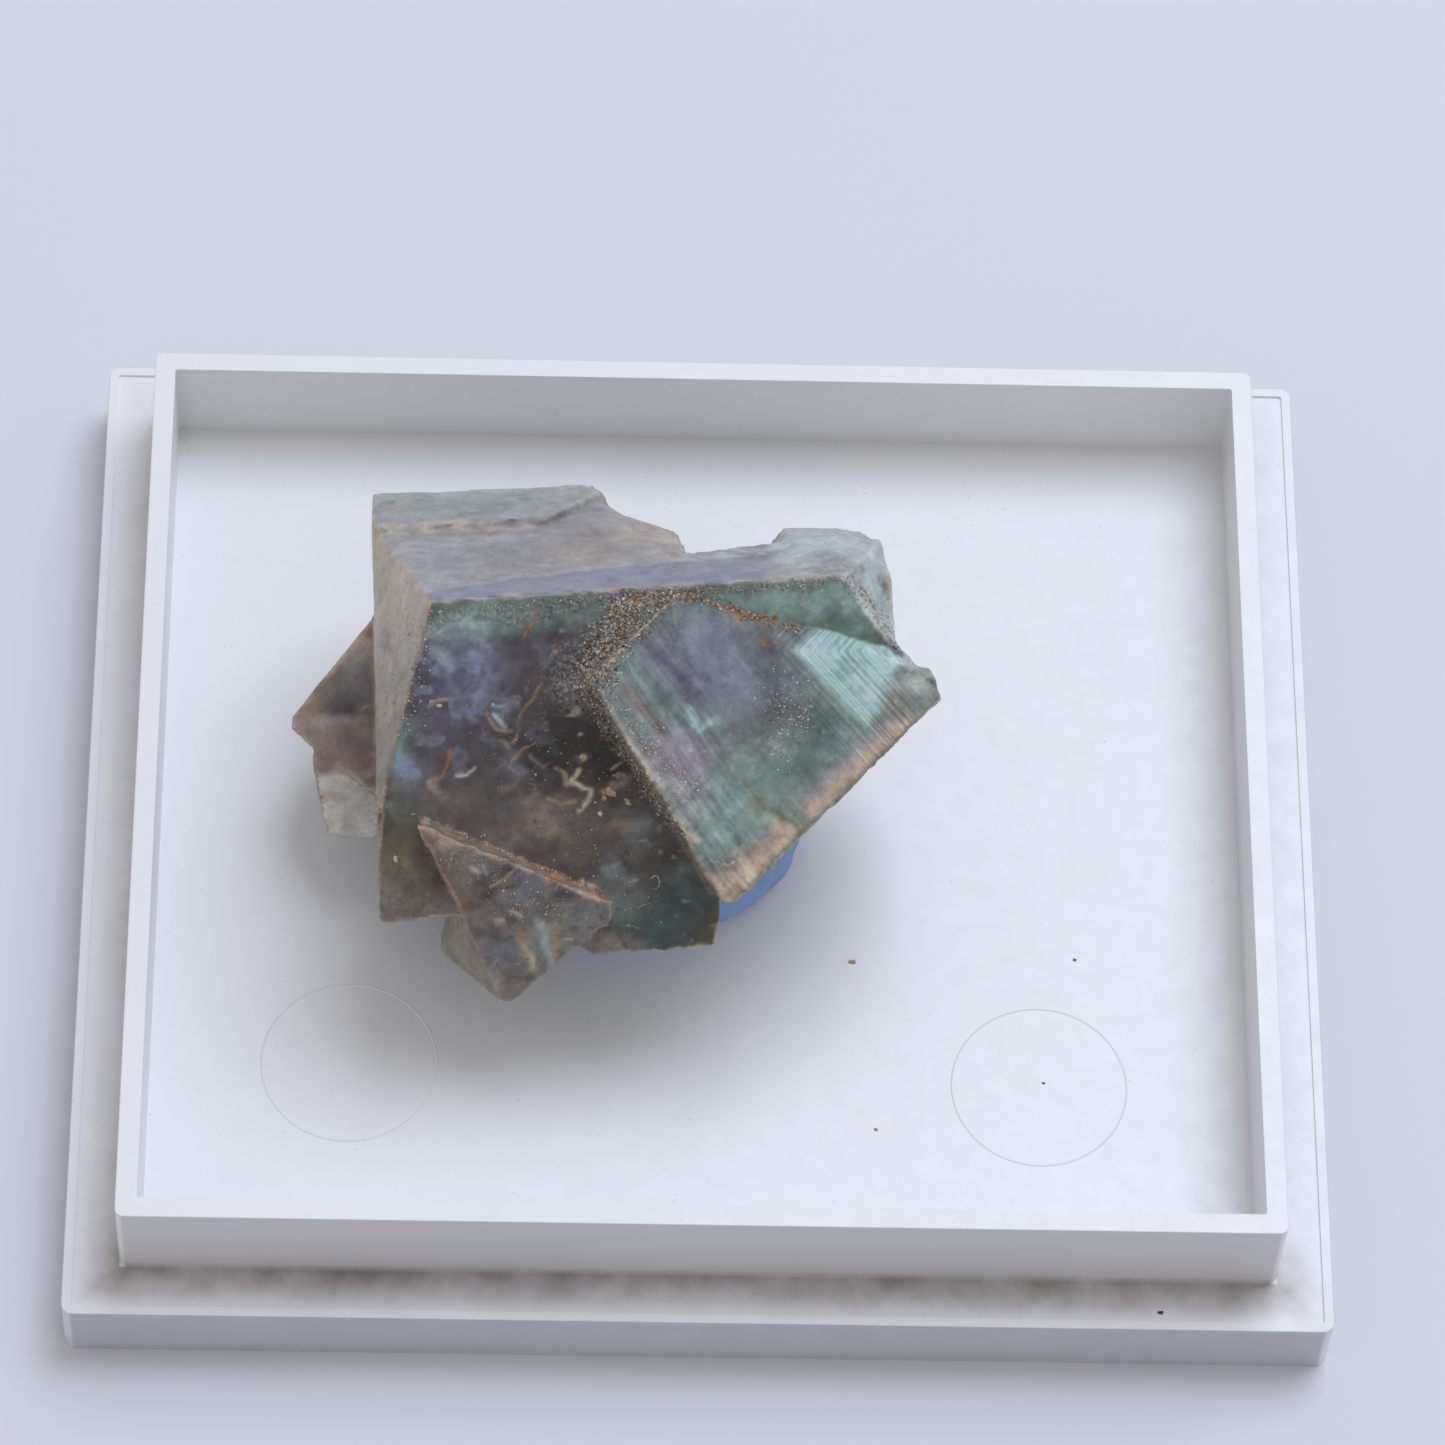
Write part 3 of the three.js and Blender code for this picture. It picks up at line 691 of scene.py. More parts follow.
BODY_CLOUDS = (
    ("teal", -0.3, 0.6, 6.0, 1, 0.8),
    ("purple", 0.0, 0.7, 5.0, 11, 0.8),
    ("beige", 0.0, 0.8, 4.0, 21, 0.6),
    ("smoke", 0.0, 0.9, 5.0, 31, 0.6),
)
LEFT_CLOUDS = (
    ("tan", 0.2, 0.7, 1.5, 75, 0.6),
    ("rust", 0.45, 0.8, 0.6, 76, 0.5),
)
LOW_CLOUD = ("peach", 0.0, 0.6, 1.0, 74, 0.6)
SHOULDER_CLOUD = ("orange", -0.3, 0.4, 0.6, 78, 0.5)
FRONT_ZONES = (
    ("teal", 2.4, -0.7, 3.3, 1.0, 0.95),
    ("mint", 1.2, -1.1, 1.6, 0.6, 0.5),
    ("grey_green", 4.4, -0.7, 2.0, 0.5, 0.5),
    ("teal", 7.5, -0.8, 2.6, 0.8, 0.6),
    ("teal", -1.6, -5.5, 0.5, 3.1, 0.8),
    ("blue_lavender", 0.2, -2.7, 0.6, 0.7, 0.7),
    ("deep_purple", -0.4, -3.6, 0.5, 0.9, 0.8),
    ("lavender", 1.7, -3.4, 1.3, 1.4, 0.75),
    ("purple", 0.1, -5.4, 1.1, 1.3, 0.7),
    ("deep_purple", 5.0, -2.4, 1.3, 0.9, 0.85),
    ("smoke", 3.7, -4.8, 1.3, 1.1, 0.6),
    ("deep_smoke", 6.1, -6.6, 2.4, 2.2, 0.9),
    ("deep_smoke", 3.6, -7.3, 2.2, 1.3, 0.75),
    ("deep_smoke", 7.3, -8.5, 1.3, 2.0, 0.95),
    ("blue_lavender", -1.3, -7.6, 0.7, 0.8, 0.75),
    ("smoke", 1.3, -8.7, 1.8, 0.9, 0.7),
    ("olive", -2.1, -8.5, 0.4, 0.6, 0.8),
    ("teal", -2.2, -9.3, 0.5, 0.3, 0.5),
    ("grey_brown", 4.3, -10.8, 3.1, 1.2, 0.85),
    ("grey_brown", 0.2, -9.3, 1.5, 0.9, 0.6),
    ("grey_green", 7.6, -14.6, 1.2, 0.8, 0.7),
    ("olive", -2.0, -12.2, 1.2, 2.2, 0.9),
    ("smoke", 7.4, -11.1, 1.3, 0.9, 0.6),
    ("grey_teal", 8.6, -11.2, 0.6, 0.7, 0.6),
    ("grey_teal", 7.6, -13.1, 0.6, 0.6, 0.7),
    ("deep_smoke", 8.1, -12.5, 0.4, 0.3, 0.6),
    ("dark_teal", 10.4, -14.6, 1.7, 1.3, 0.95),
    ("dark_teal", 9.0, -15.8, 1.8, 0.8, 0.7),
    ("olive", 11.9, -16.1, 0.6, 1.0, 0.5),
    ("grey_brown", 6.8, -14.5, 0.7, 0.6, 0.5),
    ("green", 15.9, -1.2, 3.6, 1.2, 0.95),
    ("green", 18.6, -2.7, 1.8, 1.0, 0.95),
    ("sea_green", 15.6, -1.0, 3.4, 1.0, 0.75),
    ("grey_teal", 8.4, -2.0, 1.5, 1.5, 0.6),
    ("pale_mint", 1.0, -1.2, 1.3, 0.5, 0.4),
    ("pale_mint", 0.4, -2.6, 0.6, 0.5, 0.4),
    ("beige", 6.6, -4.2, 0.7, 0.6, 0.4),
    ("mint", 18.6, -1.4, 0.9, 0.5, 0.3),
    ("tan", 7.4, -9.2, 0.4, 0.3, 0.8),
    ("grey_brown", 7.9, -8.9, 0.35, 0.4, 0.8),
    ("cream", 6.4, -7.65, 0.22, 0.12, 0.8),
    ("tan", 3.6, -9.9, 0.5, 0.3, 0.35),
    ("tan", 4.1, -10.4, 0.3, 0.3, 0.45),
    ("tan", 5.0, -11.3, 0.35, 0.3, 0.4),
    ("tan", 7.6, -11.1, 0.5, 0.4, 0.45),
    ("pale", 0.0, -8.3, 0.2, 0.3, 0.8),
    ("orange", 1.3, -4.9, 0.15, 0.15, 0.6),
    ("tan", 2.5, -7.1, 0.3, 0.35, 0.6),
    ("grey_lavender", 3.0, -7.7, 0.8, 0.7, 0.35),
    ("rust", -1.2, -14.3, 1.4, 0.35, 0.5),
    ("olive", 6.4, -16.0, 0.7, 0.6, 0.7),
    ("light_grey", 9.2, -1.6, 0.7, 0.5, 0.4),
    ("grey_teal", 10.4, -13.6, 0.7, 0.6, 0.4),
    ("grey_brown", 6.8, -4.6, 0.6, 0.5, 0.4),
    ("grey_teal", 6.1, -1.0, 0.6, 0.3, 0.4),
    ("pale_mint", 18.6, -1.8, 0.5, 0.4, 0.3),
    ("olive_grey", -2.1, -12.6, 0.5, 0.7, 0.35),
)
FRONT_STROKES = (
    ("tan", 0.08, 0.45,
     ((4.83, -4.12), (4.44, -4.62), (4.05, -5.04), (3.58, -5.46), (3.51, -6.14), (3.29, -6.73))),
    ("tan", 0.08, 0.45, ((4.33, -6.74), (3.72, -7.07), (3.17, -7.56), (3.08, -7.94), (3.36, -8.19))),
    ("tan", 0.09, 0.72, ((2.11, -5.27), (2.31, -5.74), (2.59, -6.07), (3.17, -6.19))),
    ("pale_mint", 0.09, 0.72, ((2.40, -5.37), (2.96, -5.95))),
    ("pale_mint", 0.07, 0.72, ((2.35, -4.99), (2.87, -4.95))),
    ("orange", 0.12, 0.64, ORANGE_CURL),
    ("pale", 0.12, 0.77, ((0.78, -8.06), (1.22, -8.06), (1.53, -7.81))),
    ("tan", 0.10, 0.72, TAN_CURL),
    ("cream", 0.11, 0.77, CREAM_CURL),
    ("tan", 0.13, 0.55, ((4.70, -9.44), (5.28, -9.75), (5.88, -9.69))),
    ("grey_brown", 0.10, 0.68, ((4.00, -7.32), (4.63, -7.98))),
    ("grey_brown", 0.15, 0.64, ((3.66, -8.06), (3.11, -8.70), (2.59, -8.81))),
    ("cream", 0.09, 0.68, ((8.30, -7.43), (8.78, -8.24), (9.18, -9.18), (9.79, -10.38), (10.50, -11.13))),
    ("tan", 0.10, 0.60, ((-0.29, -4.71), (0.16, -4.51), (0.46, -4.46))),
    ("pale", 0.07, 0.68, ((7.59, -8.29), (7.97, -8.02))),
    ("tan", 0.09, 0.68, SHORT_CURL),
    ("peach", 0.08, 0.51, ((-0.02, -1.16), (-1.13, -3.30), (-1.80, -5.39), (-2.59, -8.13), (-2.96, -11.39))),
)
TWIN_ZONES = (
    ("grey_lavender", 12.0, -3.1, 3.3, 2.7, 0.95),
    ("teal", 12.3, -1.8, 0.6, 0.4, 0.5),
    ("purple", 11.6, -5.1, 1.0, 0.7, 0.6),
    ("deep_purple", 13.8, -6.8, 1.4, 1.0, 0.25),
    ("pink_lavender", 10.7, -7.7, 1.5, 1.2, 0.85),
    ("pink_lavender", 11.3, -9.6, 0.9, 0.9, 0.5),
    ("sea_green", 13.4, -9.8, 1.6, 1.9, 0.75),
    ("sea_green", 12.6, -11.4, 1.5, 1.2, 0.9),
    ("green", 15.2, -8.8, 1.2, 1.0, 0.6),
    ("dark_teal", 16.8, -8.4, 1.1, 1.0, 0.7),
    ("dark_teal", 17.3, -7.2, 0.9, 0.7, 0.4),
    ("deep_purple", 15.2, -3.1, 0.5, 0.9, 0.85),
    ("deep_purple", 14.9, -5.2, 0.8, 1.3, 0.5),
    ("dark_teal", 20.0, -4.7, 0.3, 0.8, 0.6),
    ("tan", 20.4, -6.1, 0.4, 0.6, 0.3),
    ("pale", 21.2, -5.3, 0.9, 0.7, 0.9),
    ("pale_mint", 19.9, -5.3, 0.7, 0.7, 0.6),
    ("grey_teal", 16.0, -5.3, 0.9, 0.9, 0.5),
    ("sea_green", 18.0, -7.6, 0.9, 0.8, 0.7),
    ("olive", 22.4, -6.2, 0.4, 0.4, 0.6),
    ("olive", 14.0, -9.8, 0.4, 0.4, 0.6),
    ("beige", 12.8, -13.4, 1.3, 1.2, 0.9),
    ("peach", 12.6, -13.8, 0.7, 0.8, 0.6),
    ("grey_lavender", 13.9, -5.4, 0.9, 1.0, 0.7),
    ("deep_purple", 15.1, -5.8, 0.7, 1.0, 0.6),
    ("smoke", 16.1, -6.2, 0.6, 0.6, 0.4),
    ("dark_teal", 17.2, -6.9, 0.9, 0.8, 0.6),
    ("orange", 13.6, -1.7, 0.4, 0.2, 0.8),
    ("orange", 14.7, -2.0, 0.4, 0.2, 0.7),
    ("orange", 15.1, -2.9, 0.2, 0.25, 0.7),
    ("grey_brown", 19.9, -5.9, 0.5, 0.7, 0.4),
    ("smoke", 9.0, -4.6, 0.6, 0.5, 0.35),
    ("smoke", 11.3, -9.6, 0.6, 0.5, 0.4),
    ("lavender", 15.7, -5.2, 0.5, 0.5, 0.4),
    ("lavender", 13.2, -4.3, 1.2, 1.6, 0.3),
    ("pale", 22.0, -5.7, 0.5, 0.5, 0.5),
    ("tan", 18.6, -9.2, 0.6, 0.5, 0.35),
)
TWIN_STROKES = (
    ("teal", 0.5, 0.6, ((8.2, -3.1), (9.5, -4.3), (10.7, -5.7), (11.7, -6.7))),
    ("purple", 0.3, 0.7, ((9.2, -2.3), (10.3, -3.6), (11.2, -4.6))),
    ("smoke", 0.2, 0.4, ((9.8, -1.9), (10.9, -3.2), (12.0, -4.4))),
    ("pink_brown", 0.31, 0.6, ((8.2, -4.5), (9.9, -6.4))),
    ("mint", 0.22, 0.4, ((11.1, -5.7), (11.5, -6.6), (12.3, -6.1))),
    ("pale", 0.36, 0.65, ((7.1, -5.0), (8.4, -6.9), (9.7, -8.6), (10.4, -9.2))),
    ("peach", 0.9, 0.85, ((12.8, -13.4), (13.9, -12.5), (15.1, -11.6))),
    ("peach", 0.6, 0.8, ((16.3, -10.4), (18.4, -8.9), (20.8, -7.1))),
    ("pink_lavender", 0.5, 0.4, ((16.0, -9.9), (18.2, -8.5), (20.4, -7.0))),
    ("olive", 0.16, 0.7, ((13.4, -9.0), (14.2, -10.2), (15.0, -10.7), (15.6, -11.2), (15.8, -11.7))),
    ("cream", 0.15, 0.9, ((9.2, -8.4), (9.7, -9.7), (11.1, -11.4))),
    ("cream", 0.14, 0.5, ((7.1, -4.4), (8.8, -7.5), (11.8, -14.2))),
    ("pale", 0.3, 0.4, ((14.7, -7.4), (14.9, -7.6))),
    ("olive", 0.2, 0.7, ((12.3, -14.5), (22.5, -6.2))),
)
SMALL_ZONES = (
    ("beige", 0.3, -10.8, 1.2, 0.7, 0.8),
    ("deep_purple", 2.4, -12.0, 0.8, 0.5, 0.9),
    ("deep_smoke", 1.5, -13.2, 0.7, 0.7, 0.75),
    ("slate_lavender", 3.3, -13.3, 0.9, 0.6, 0.8),
    ("deep_purple", 5.2, -13.5, 0.7, 0.4, 0.75),
    ("deep_smoke", 2.9, -14.5, 0.7, 0.4, 0.6),
    ("deep_smoke", 1.8, -15.3, 0.8, 0.4, 0.5),
    ("grey_green", 6.2, -14.6, 0.9, 0.6, 0.8),
    ("grey_teal", 4.2, -16.0, 1.3, 1.2, 0.7),
    ("grey_lavender", 2.2, -16.6, 1.0, 0.9, 0.6),
    ("pale", 1.7, -18.2, 0.5, 0.7, 0.8),
    ("olive", 0.1, -13.1, 0.6, 0.8, 0.5),
    ("rust", 0.6, -14.0, 0.2, 0.3, 0.8),
)
SMALL_STROKES = (
    ("orange", 0.14, 0.8,
     ((-1.4, -9.8), (0.0, -10.4), (1.9, -11.4), (3.8, -12.4), (5.8, -13.4), (7.2, -14.2))),
    ("rust", 0.2, 0.6, ((-1.4, -10.2), (-0.6, -10.7), (-0.2, -12.1), (0.6, -14.1))),
    ("cream", 0.3, 0.75, ((3.2, -15.7), (3.4, -16.5), (3.7, -17.2))),
    ("tan", 0.3, 0.7, ((4.6, -15.3), (4.7, -16.7))),
    ("pale_mint", 0.25, 0.6, ((4.0, -15.0), (4.3, -16.2), (4.5, -17.1))),
    ("tan", 0.08, 0.8, ((3.1, -12.0), (2.8, -12.4), (2.4, -12.75), (1.8, -13.0))),
    ("orange", 0.2, 0.6, ((3.2, -15.4), (3.3, -15.8))),
    ("pale", 0.12, 0.8, ((1.0, -12.0), (1.3, -12.3))),
    ("pale", 0.14, 0.8, ((2.7, -14.3), (3.2, -14.6))),
    ("pale", 0.12, 0.6, ((1.6, -11.9), (1.7, -12.3))),
)
# The edge of the lavender strip on the top, as x and z.
STRIP_EDGE = ((0.0, -1.3), (3.9, -2.6), (7.9, -3.5), (12.5, -3.9), (19.0, -4.3))
TOP_ZONES = (
    ("grey_brown", 4.6, -4.4, 4.0, 2.0, 0.55),
    ("tan", 7.4, -5.6, 1.4, 1.4, 0.45),
    ("smoke", 3.8, -6.6, 2.6, 0.9, 0.4),
    ("grey_brown", 8.2, -8.2, 2.2, 2.2, 0.75),
    ("smoke", 8.8, -6.0, 1.4, 0.8, 0.5),
    ("tan", 10.2, -8.8, 0.9, 1.4, 0.5),
    ("pale_mint", 10.6, -12.0, 1.0, 1.0, 0.6),
    ("tan", -0.6, -11.8, 0.6, 0.8, 0.6),
    ("tan", 0.3, -12.6, 0.5, 0.5, 0.5),
    ("pale", 3.5, -14.5, 4.5, 2.6, 0.6),
    ("peach", 11.2, -8.4, 1.0, 1.7, 0.6),
    ("pale_mint", 17.6, -4.4, 2.8, 3.2, 0.95),
    ("grey_green", 3.0, -12.1, 4.5, 2.2, 0.7),
    ("beige", 10.6, -8.4, 1.4, 3.0, 0.8),
)
TOP_RUST = ("rust", 11.4, -5.5, 0.4, 0.6, 0.7)
REAR_STROKES = (
    ("peach", 0.25, 0.7, ((-1.6, -9.4), (1.6, -9.5), (5.4, -9.6))),
    ("dark_teal", 0.7, 0.6, ((-1.0, -18.4), (8.4, -17.7), (9.8, -16.2))),
)
LEFT_TWIN_ZONES = (
    ("deep_purple", -3.5, -6.8, 0.7, 1.3, 0.7),
    ("tan", -5.0, -7.2, 0.6, 1.1, 0.7),
    ("light_grey", -3.2, -4.9, 0.8, 0.9, 0.8),
    ("peach", -2.8, -4.0, 0.7, 0.6, 0.8),
    ("tan", -4.1, -8.8, 0.9, 0.6, 0.6),
    ("pink_brown", -3.2, -8.9, 0.9, 0.9, 0.7),
    ("smoke", -3.2, -9.3, 1.1, 0.8, 0.7),
)


def paint_body(paint):
    """Colours that run through the whole cluster, and show on its sides and back."""
    paint.clouds(BODY_CLOUDS, 1)


def paint_left(paint):
    p = paint.points
    left = smoothstep(0.5, 0.8, -paint.normals[:, 0]) * smoothstep(-4.2, -3.4, p[:, 0])
    paint.lay("beige", left * 0.9)
    paint.lay("olive_grey", left * smoothstep(-2.5, 0.0, p[:, 2]) * 0.6)
    paint.clouds(LEFT_CLOUDS, left)
    paint.lay("cream", left * smoothstep(-4.0, 1.0, p[:, 1]) * 0.5)
    paint.lay("olive", left * smoothstep(-5.0, -9.0, p[:, 1]) * 0.45)
    where = paint.on_face(LEFT_TWIN, 0.5)
    paint.lay("grey_brown", where)
    paint.zones(LEFT_TWIN_ZONES, where)
    low = paint.on_face(LEFT_LOW, 0.5)
    paint.lay("white_grey", low * 0.95)
    paint.clouds([LOW_CLOUD], low)
    brown = low * smoothstep(-10.2, -9.6, paint.shaken[:, 1])
    paint.lay("pink_brown", brown * 0.85)
    paint.lay("smoke", brown * smoothstep(-4.2, -3.0, p[:, 0]) * 0.3)


def paint_top(paint):
    up = smoothstep(0.6, 0.85, paint.normals[:, 1]) * smoothstep(-5.0, -4.0, paint.points[:, 1])
    paint.lay("light_grey", up)
    p = paint.shaken
    strip = up * smoothstep(-0.12, 0.12, p[:, 2] - np.interp(p[:, 0], *np.array(STRIP_EDGE).T))
    paint.zones(TOP_ZONES, up, (0, 2))
    paint.lay("slate_lavender", strip * smoothstep(16.5, 14.5, p[:, 0]) * 0.9)
    paint.strokes([("light_grey", 0.16, 0.7, STRIP_EDGE[:4])], up, (0, 2))
    paint.zones([TOP_RUST], up, (0, 2))
    rear = up * smoothstep(-5.0, -6.5, paint.points[:, 2])
    paint.strokes(REAR_STROKES, rear, (0, 2))


def paint_front(paint):
    where = paint.on_front()
    p = paint.points
    paint.lay("smoke", where)
    hazy = where * bell(p, HAZE, HAZE_REACH)
    paint.lay("purple", hazy * 0.7)
    paint.zones(FRONT_ZONES, where)
    paint.lay("blue_lavender", hazy * smoothstep(0.2, 0.8, cloud(p, 0.8, 70, 3)) * 0.45)
    paint.lay("deep_purple", hazy * smoothstep(0.1, 0.7, cloud(p, 1.2, 71, 4)) * 0.6)
    paint.strokes(FRONT_STROKES, where)
    # Painted light: the front face brightened as if lit through the stone.
    paint.lift(where, PAINTED_GLOW)


def chevrons(points):
    """How far a point lies outside the nested V-shaped growth lines on the twin's face."""
    flat = points[:, :2] - np.array(CHEVRON_TIP)
    return np.maximum(flat @ np.array(UPPER_ARM_OUT), flat @ np.array(LOWER_ARM_OUT))


def paint_twin(paint):
    where = paint.on_twin()
    paint.lay("grey_green", where)
    paint.zones(TWIN_ZONES, where)
    p = paint.warped
    # Mint over the clear part: the stone's green, partly painted light shining through it.
    clear = smoothstep(0.15, -0.45, chevrons(paint.shaken)) * smoothstep(-9.0, -6.2, p[:, 1])
    clear = clear * smoothstep(20.9, 20.2, p[:, 0] - 0.35 * (p[:, 1] + 4))
    paint.lay("mint", where * clear * 0.9)
    paint.strokes(TWIN_STROKES, where)
    # Painted light: the twin's face brightened as if lit through the stone.
    paint.lift(where, PAINTED_GLOW)


def paint_small(paint):
    p = paint.points
    left_part = smoothstep(9.0, 8.4, p[:, 0])
    where = paint.on_face(SMALL, 0.6) * left_part
    paint.lay("grey_brown", where)
    paint.zones(SMALL_ZONES, where)
    shoulder = left_part * smoothstep(0.3, 0.6, paint.normals[:, 1]) * smoothstep(-8.0, -9.0, p[:, 1])
    shoulder = shoulder * smoothstep(2.5, 2.0, np.abs(p[:, 2]))
    paint.lay("grey_brown", shoulder * 0.9)
    paint.clouds([SHOULDER_CLOUD], shoulder)
    paint.strokes(SMALL_STROKES, where)


def paint_right(paint):
    p = paint.points
    right = smoothstep(0.15, 0.45, paint.normals[:, 0]) * smoothstep(17.5, 18.5, p[:, 0])
    right = right * smoothstep(-5.5, -3.8, p[:, 1])
    paint.lay("pale_mint", right * 0.9)
    paint.lay("pale", right * smoothstep(0.0, 0.5, cloud(p * [1, 3, 1], 1.0, 88)) * 0.7)


def wear_marks(paint):
    """Fine mottling, pale and rusty specks, all over."""
    p = paint.points
    fine = 1 + 0.16 * cloud(p, 0.9, 81, 3) + 0.1 * cloud(p, 0.35, 82, 2)
    paint.colour = paint.colour * fine[:, None]
    specks = smoothstep(0.8, 0.95, value_noise(p, 0.3, 90)) * smoothstep(0.0, 0.6, cloud(p, 3.0, 91))
    paint.lay("cream", specks * 0.5)
    rust = smoothstep(0.82, 0.95, value_noise(p, 0.4, 95)) * smoothstep(0.1, 0.6, cloud(p, 3.5, 96))
    paint.lay("rust", rust * 0.3)


PAINTERS = (
    paint_body, paint_left, paint_top, paint_front, paint_twin, paint_small, paint_right, wear_marks,
)


def edge_wear_and_highlight(mesh, points, normals):
    """How sharply the surface turns outward at each point, from 0 to 1."""
    ends = np.empty(len(mesh.edges) * 2, dtype=np.int64)
    mesh.edges.foreach_get("vertices", ends)
    first, second = ends.reshape(-1, 2).T
    step = points[second] - points[first]
    turn = ((normals[second] - normals[first]) * step).sum(axis=1) / np.linalg.norm(step, axis=1)
    sharp = np.zeros(len(points))
    np.maximum.at(sharp, first, turn)
    np.maximum.at(sharp, second, turn)
    return smoothstep(0.12, 0.5, sharp)


def sugariness(paint):
    """How much sugary quartz a point shows, from 0 to 1."""
    flat = paint.warped[:, :2]
    amount = paint.on_front() * smoothstep(2.2, 0.6, distance_to_path(flat, DRUSE_MIDDLE))
    for path, width in SUGARY_EDGES:
        amount = np.maximum(amount, smoothstep(width, width * 0.3, distance_to_path(flat, path)))
    twin = paint.on_twin()
    return np.maximum(amount * (1 - twin * 0.5), 0.35 * twin * bell(paint.points, SNOW, SNOW_REACH))


def streakiness(paint):
    """How strongly the twin's face is streaked, most at its left."""
    p = paint.warped
    return paint.on_twin() * (0.25 + 0.6 * smoothstep(13.5, 11.0, p[:, 0] + 0.3 * p[:, 1] + 2))


def striae(paint):
    """Growth lines: the coordinate across them, and how strong they are."""
    p = paint.points
    twin = paint.on_twin()
    across = chevrons(p)
    clearest = np.exp(-((across + 0.7) / 1.5) ** 2) * smoothstep(14.0, 15.0, p[:, 0])
    patchy = 0.45 + 0.55 * smoothstep(-0.5, 0.3, cloud(p, 1.6, 44))
    strength = twin * (0.10 + 0.9 * clearest * patchy)
    return np.where(twin > 0.01, across, p @ np.array([0.64, 0.77, 0])), strength


def broken_places(points):
    """Where the small crystal and the twin's right corner are broken, from 0 to 1."""
    at, out = (np.array(v) for v in SMALL)
    small = smoothstep(0.9, 0.6, np.abs((points - at) @ out)) * smoothstep(-9.0, -10.5, points[:, 1])
    corner = smoothstep(1.3, 0.6, np.hypot(*(points[:, :2] - np.array(BROKEN_CORNER)).T))
    return np.maximum(small, corner)


def stone_relief(points, broken, hidden):
    """How high the surface stands: low waves all over, facets where it is broken and underneath."""
    waves = 0.02 * cloud(points, 1.8, 5) + 0.014 * cloud(points, 0.7, 6)
    breaks = facets(points, 1.1, 20) + 0.4 * facets(points, 0.45, 30)
    under = facets(points[:, [0, 2, 1]], 1.6, 40)
    return waves + 0.2 * broken * breaks + 0.25 * hidden * under


def dress_fluorite(node, matrix):
    piece = refined(remeshed(welded(copy_of(node, "fluorite_cluster")), FLUORITE_VOXEL), matrix)
    mesh = piece.data
    to_cluster = matrix.inverted()
    points = carried(vectors_of(mesh.vertices, "co"), to_cluster)
    normals = vectors_of(mesh.vertices, "normal") @ np.array(to_cluster.to_3x3().normalized()).T
    broken = broken_places(points)
    hidden = smoothstep(-0.1, -0.5, normals @ np.array(matrix.to_3x3().normalized())[2])
    relief = stone_relief(points, broken, hidden)
    set_vertices(mesh, carried(points - normals * (STONE_INSET - relief)[:, None], matrix))
    paint = Paint(points, normals, "grey_green")
    for painter in PAINTERS:
        painter(paint)
    # Peach on sharp edges: wear and a painted highlight.
    worn_and_lit_edges = edge_wear_and_highlight(mesh, points, normals) * smoothstep(-0.6, 0.4, cloud(points, 0.9, 99))
    paint.lay("peach", worn_and_lit_edges * 0.4)
    store_paint(mesh, paint.colour * OVERALL_LIFT)
    across, strength = striae(paint)
    rough = 0.14 + 0.10 * (cloud(points, 1.2, 8) + 1) - 0.08 * broken
    store_vectors(mesh, "relief", across, strength, rough)
    store_vectors(mesh, "marks", sugariness(paint), strength, streakiness(paint))
    store_vectors(mesh, "place", points)
    return covered(piece, fluorite_material())


# The quartz

# How far out from the front face the search for the surface starts.
SEARCH_HEIGHT = 6


class Surface:
    """Finds places on the dressed fluorite, from points of the cluster's own x and y."""

    def __init__(self, piece, matrix):
        self.tree = BVHTree.FromObject(piece, bpy.context.evaluated_depsgraph_get())
        self.matrix = matrix
        self.down = (matrix.to_3x3() @ Vector((0, 0, -1))).normalized()

    def under(self, x, y):
        """The place and the way out of the surface, in the cluster's frame, or None."""
        start = self.matrix @ Vector((x, y, SEARCH_HEIGHT))
        place, normal, _, _ = self.tree.ray_cast(start, self.down)
        if place is None:
            return None
        back = self.matrix.inverted()
        return np.array(back @ place), np.array((back.to_3x3() @ normal).normalized())


# How far strewn things may lie from their path, in half-widths, and how far the crystals lean.
SPREAD_LIMIT = 1.8
LEAN = 0.55
# Chips: how many corners they have. Strips and chips: how far their undersides lie in the surface.
CHIP_CORNERS = 11
STRIP_SINK = 0.02
CHIP_SINK = 0.05
# The fixed seeds of the random draws.
QUARTZ_SEED = 7
FILM_SEED = 11
SPECK_SEED = 17


def along(path, width, count, draw):
    """Random points near a path."""
    corners = np.array(path)
    steps = np.linalg.norm(np.diff(corners, axis=0), axis=1)
    found = []
    for _ in range(count):
        i = draw.choices(range(len(steps)), steps)[0]
        point = corners[i] + (corners[i + 1] - corners[i]) * draw.random()
        away = [max(-SPREAD_LIMIT, min(SPREAD_LIMIT, draw.gauss(0, 1))) * width / 2 for _ in range(2)]
        found.append((point[0] + away[0], point[1] + away[1]))
    return found


def colour_of(names, draw):
    return linear(draw.choice(names)) * draw.uniform(0.8, 1.9)


def coloured(points, faces, colour):
    """A part for joined_piece, in one colour."""
    return points, faces, np.tile(colour, (len(points), 1))


def standing_on(normal):
    """What turns a form's points so that its z lies along the normal."""
    return np.array(Vector(normal).to_track_quat("Z", "Y").to_matrix()).T


def crystal_parts(spots, surface, draw):
    """Small six-sided quartz crystals: spots hold x, y, radius and colour."""
    angles = np.arange(6) * math.tau / 6
    ring = np.stack([np.cos(angles), np.sin(angles), np.zeros(6)], axis=1)
    form = np.concatenate([ring - [0, 0, 0.8], ring, [[0, 0, 1]]])
    faces = [(i, (i + 1) % 6, (i + 1) % 6 + 6, i + 6) for i in range(6)]
    faces += [(i + 6, (i + 1) % 6 + 6, 12) for i in range(6)]
    parts = []
    for x, y, radius, colour in spots:
        hit = surface.under(x, y)
        if hit is None:
            continue
        place, normal = hit
        lean = Vector(normal) + Vector([draw.gauss(0, LEAN) for _ in range(3)])
        size = radius * np.array([1, draw.uniform(0.8, 1.1), draw.uniform(0.9, 1.9)])
        parts.append(coloured((form * size) @ standing_on(lean) + place, faces, colour))
    return parts


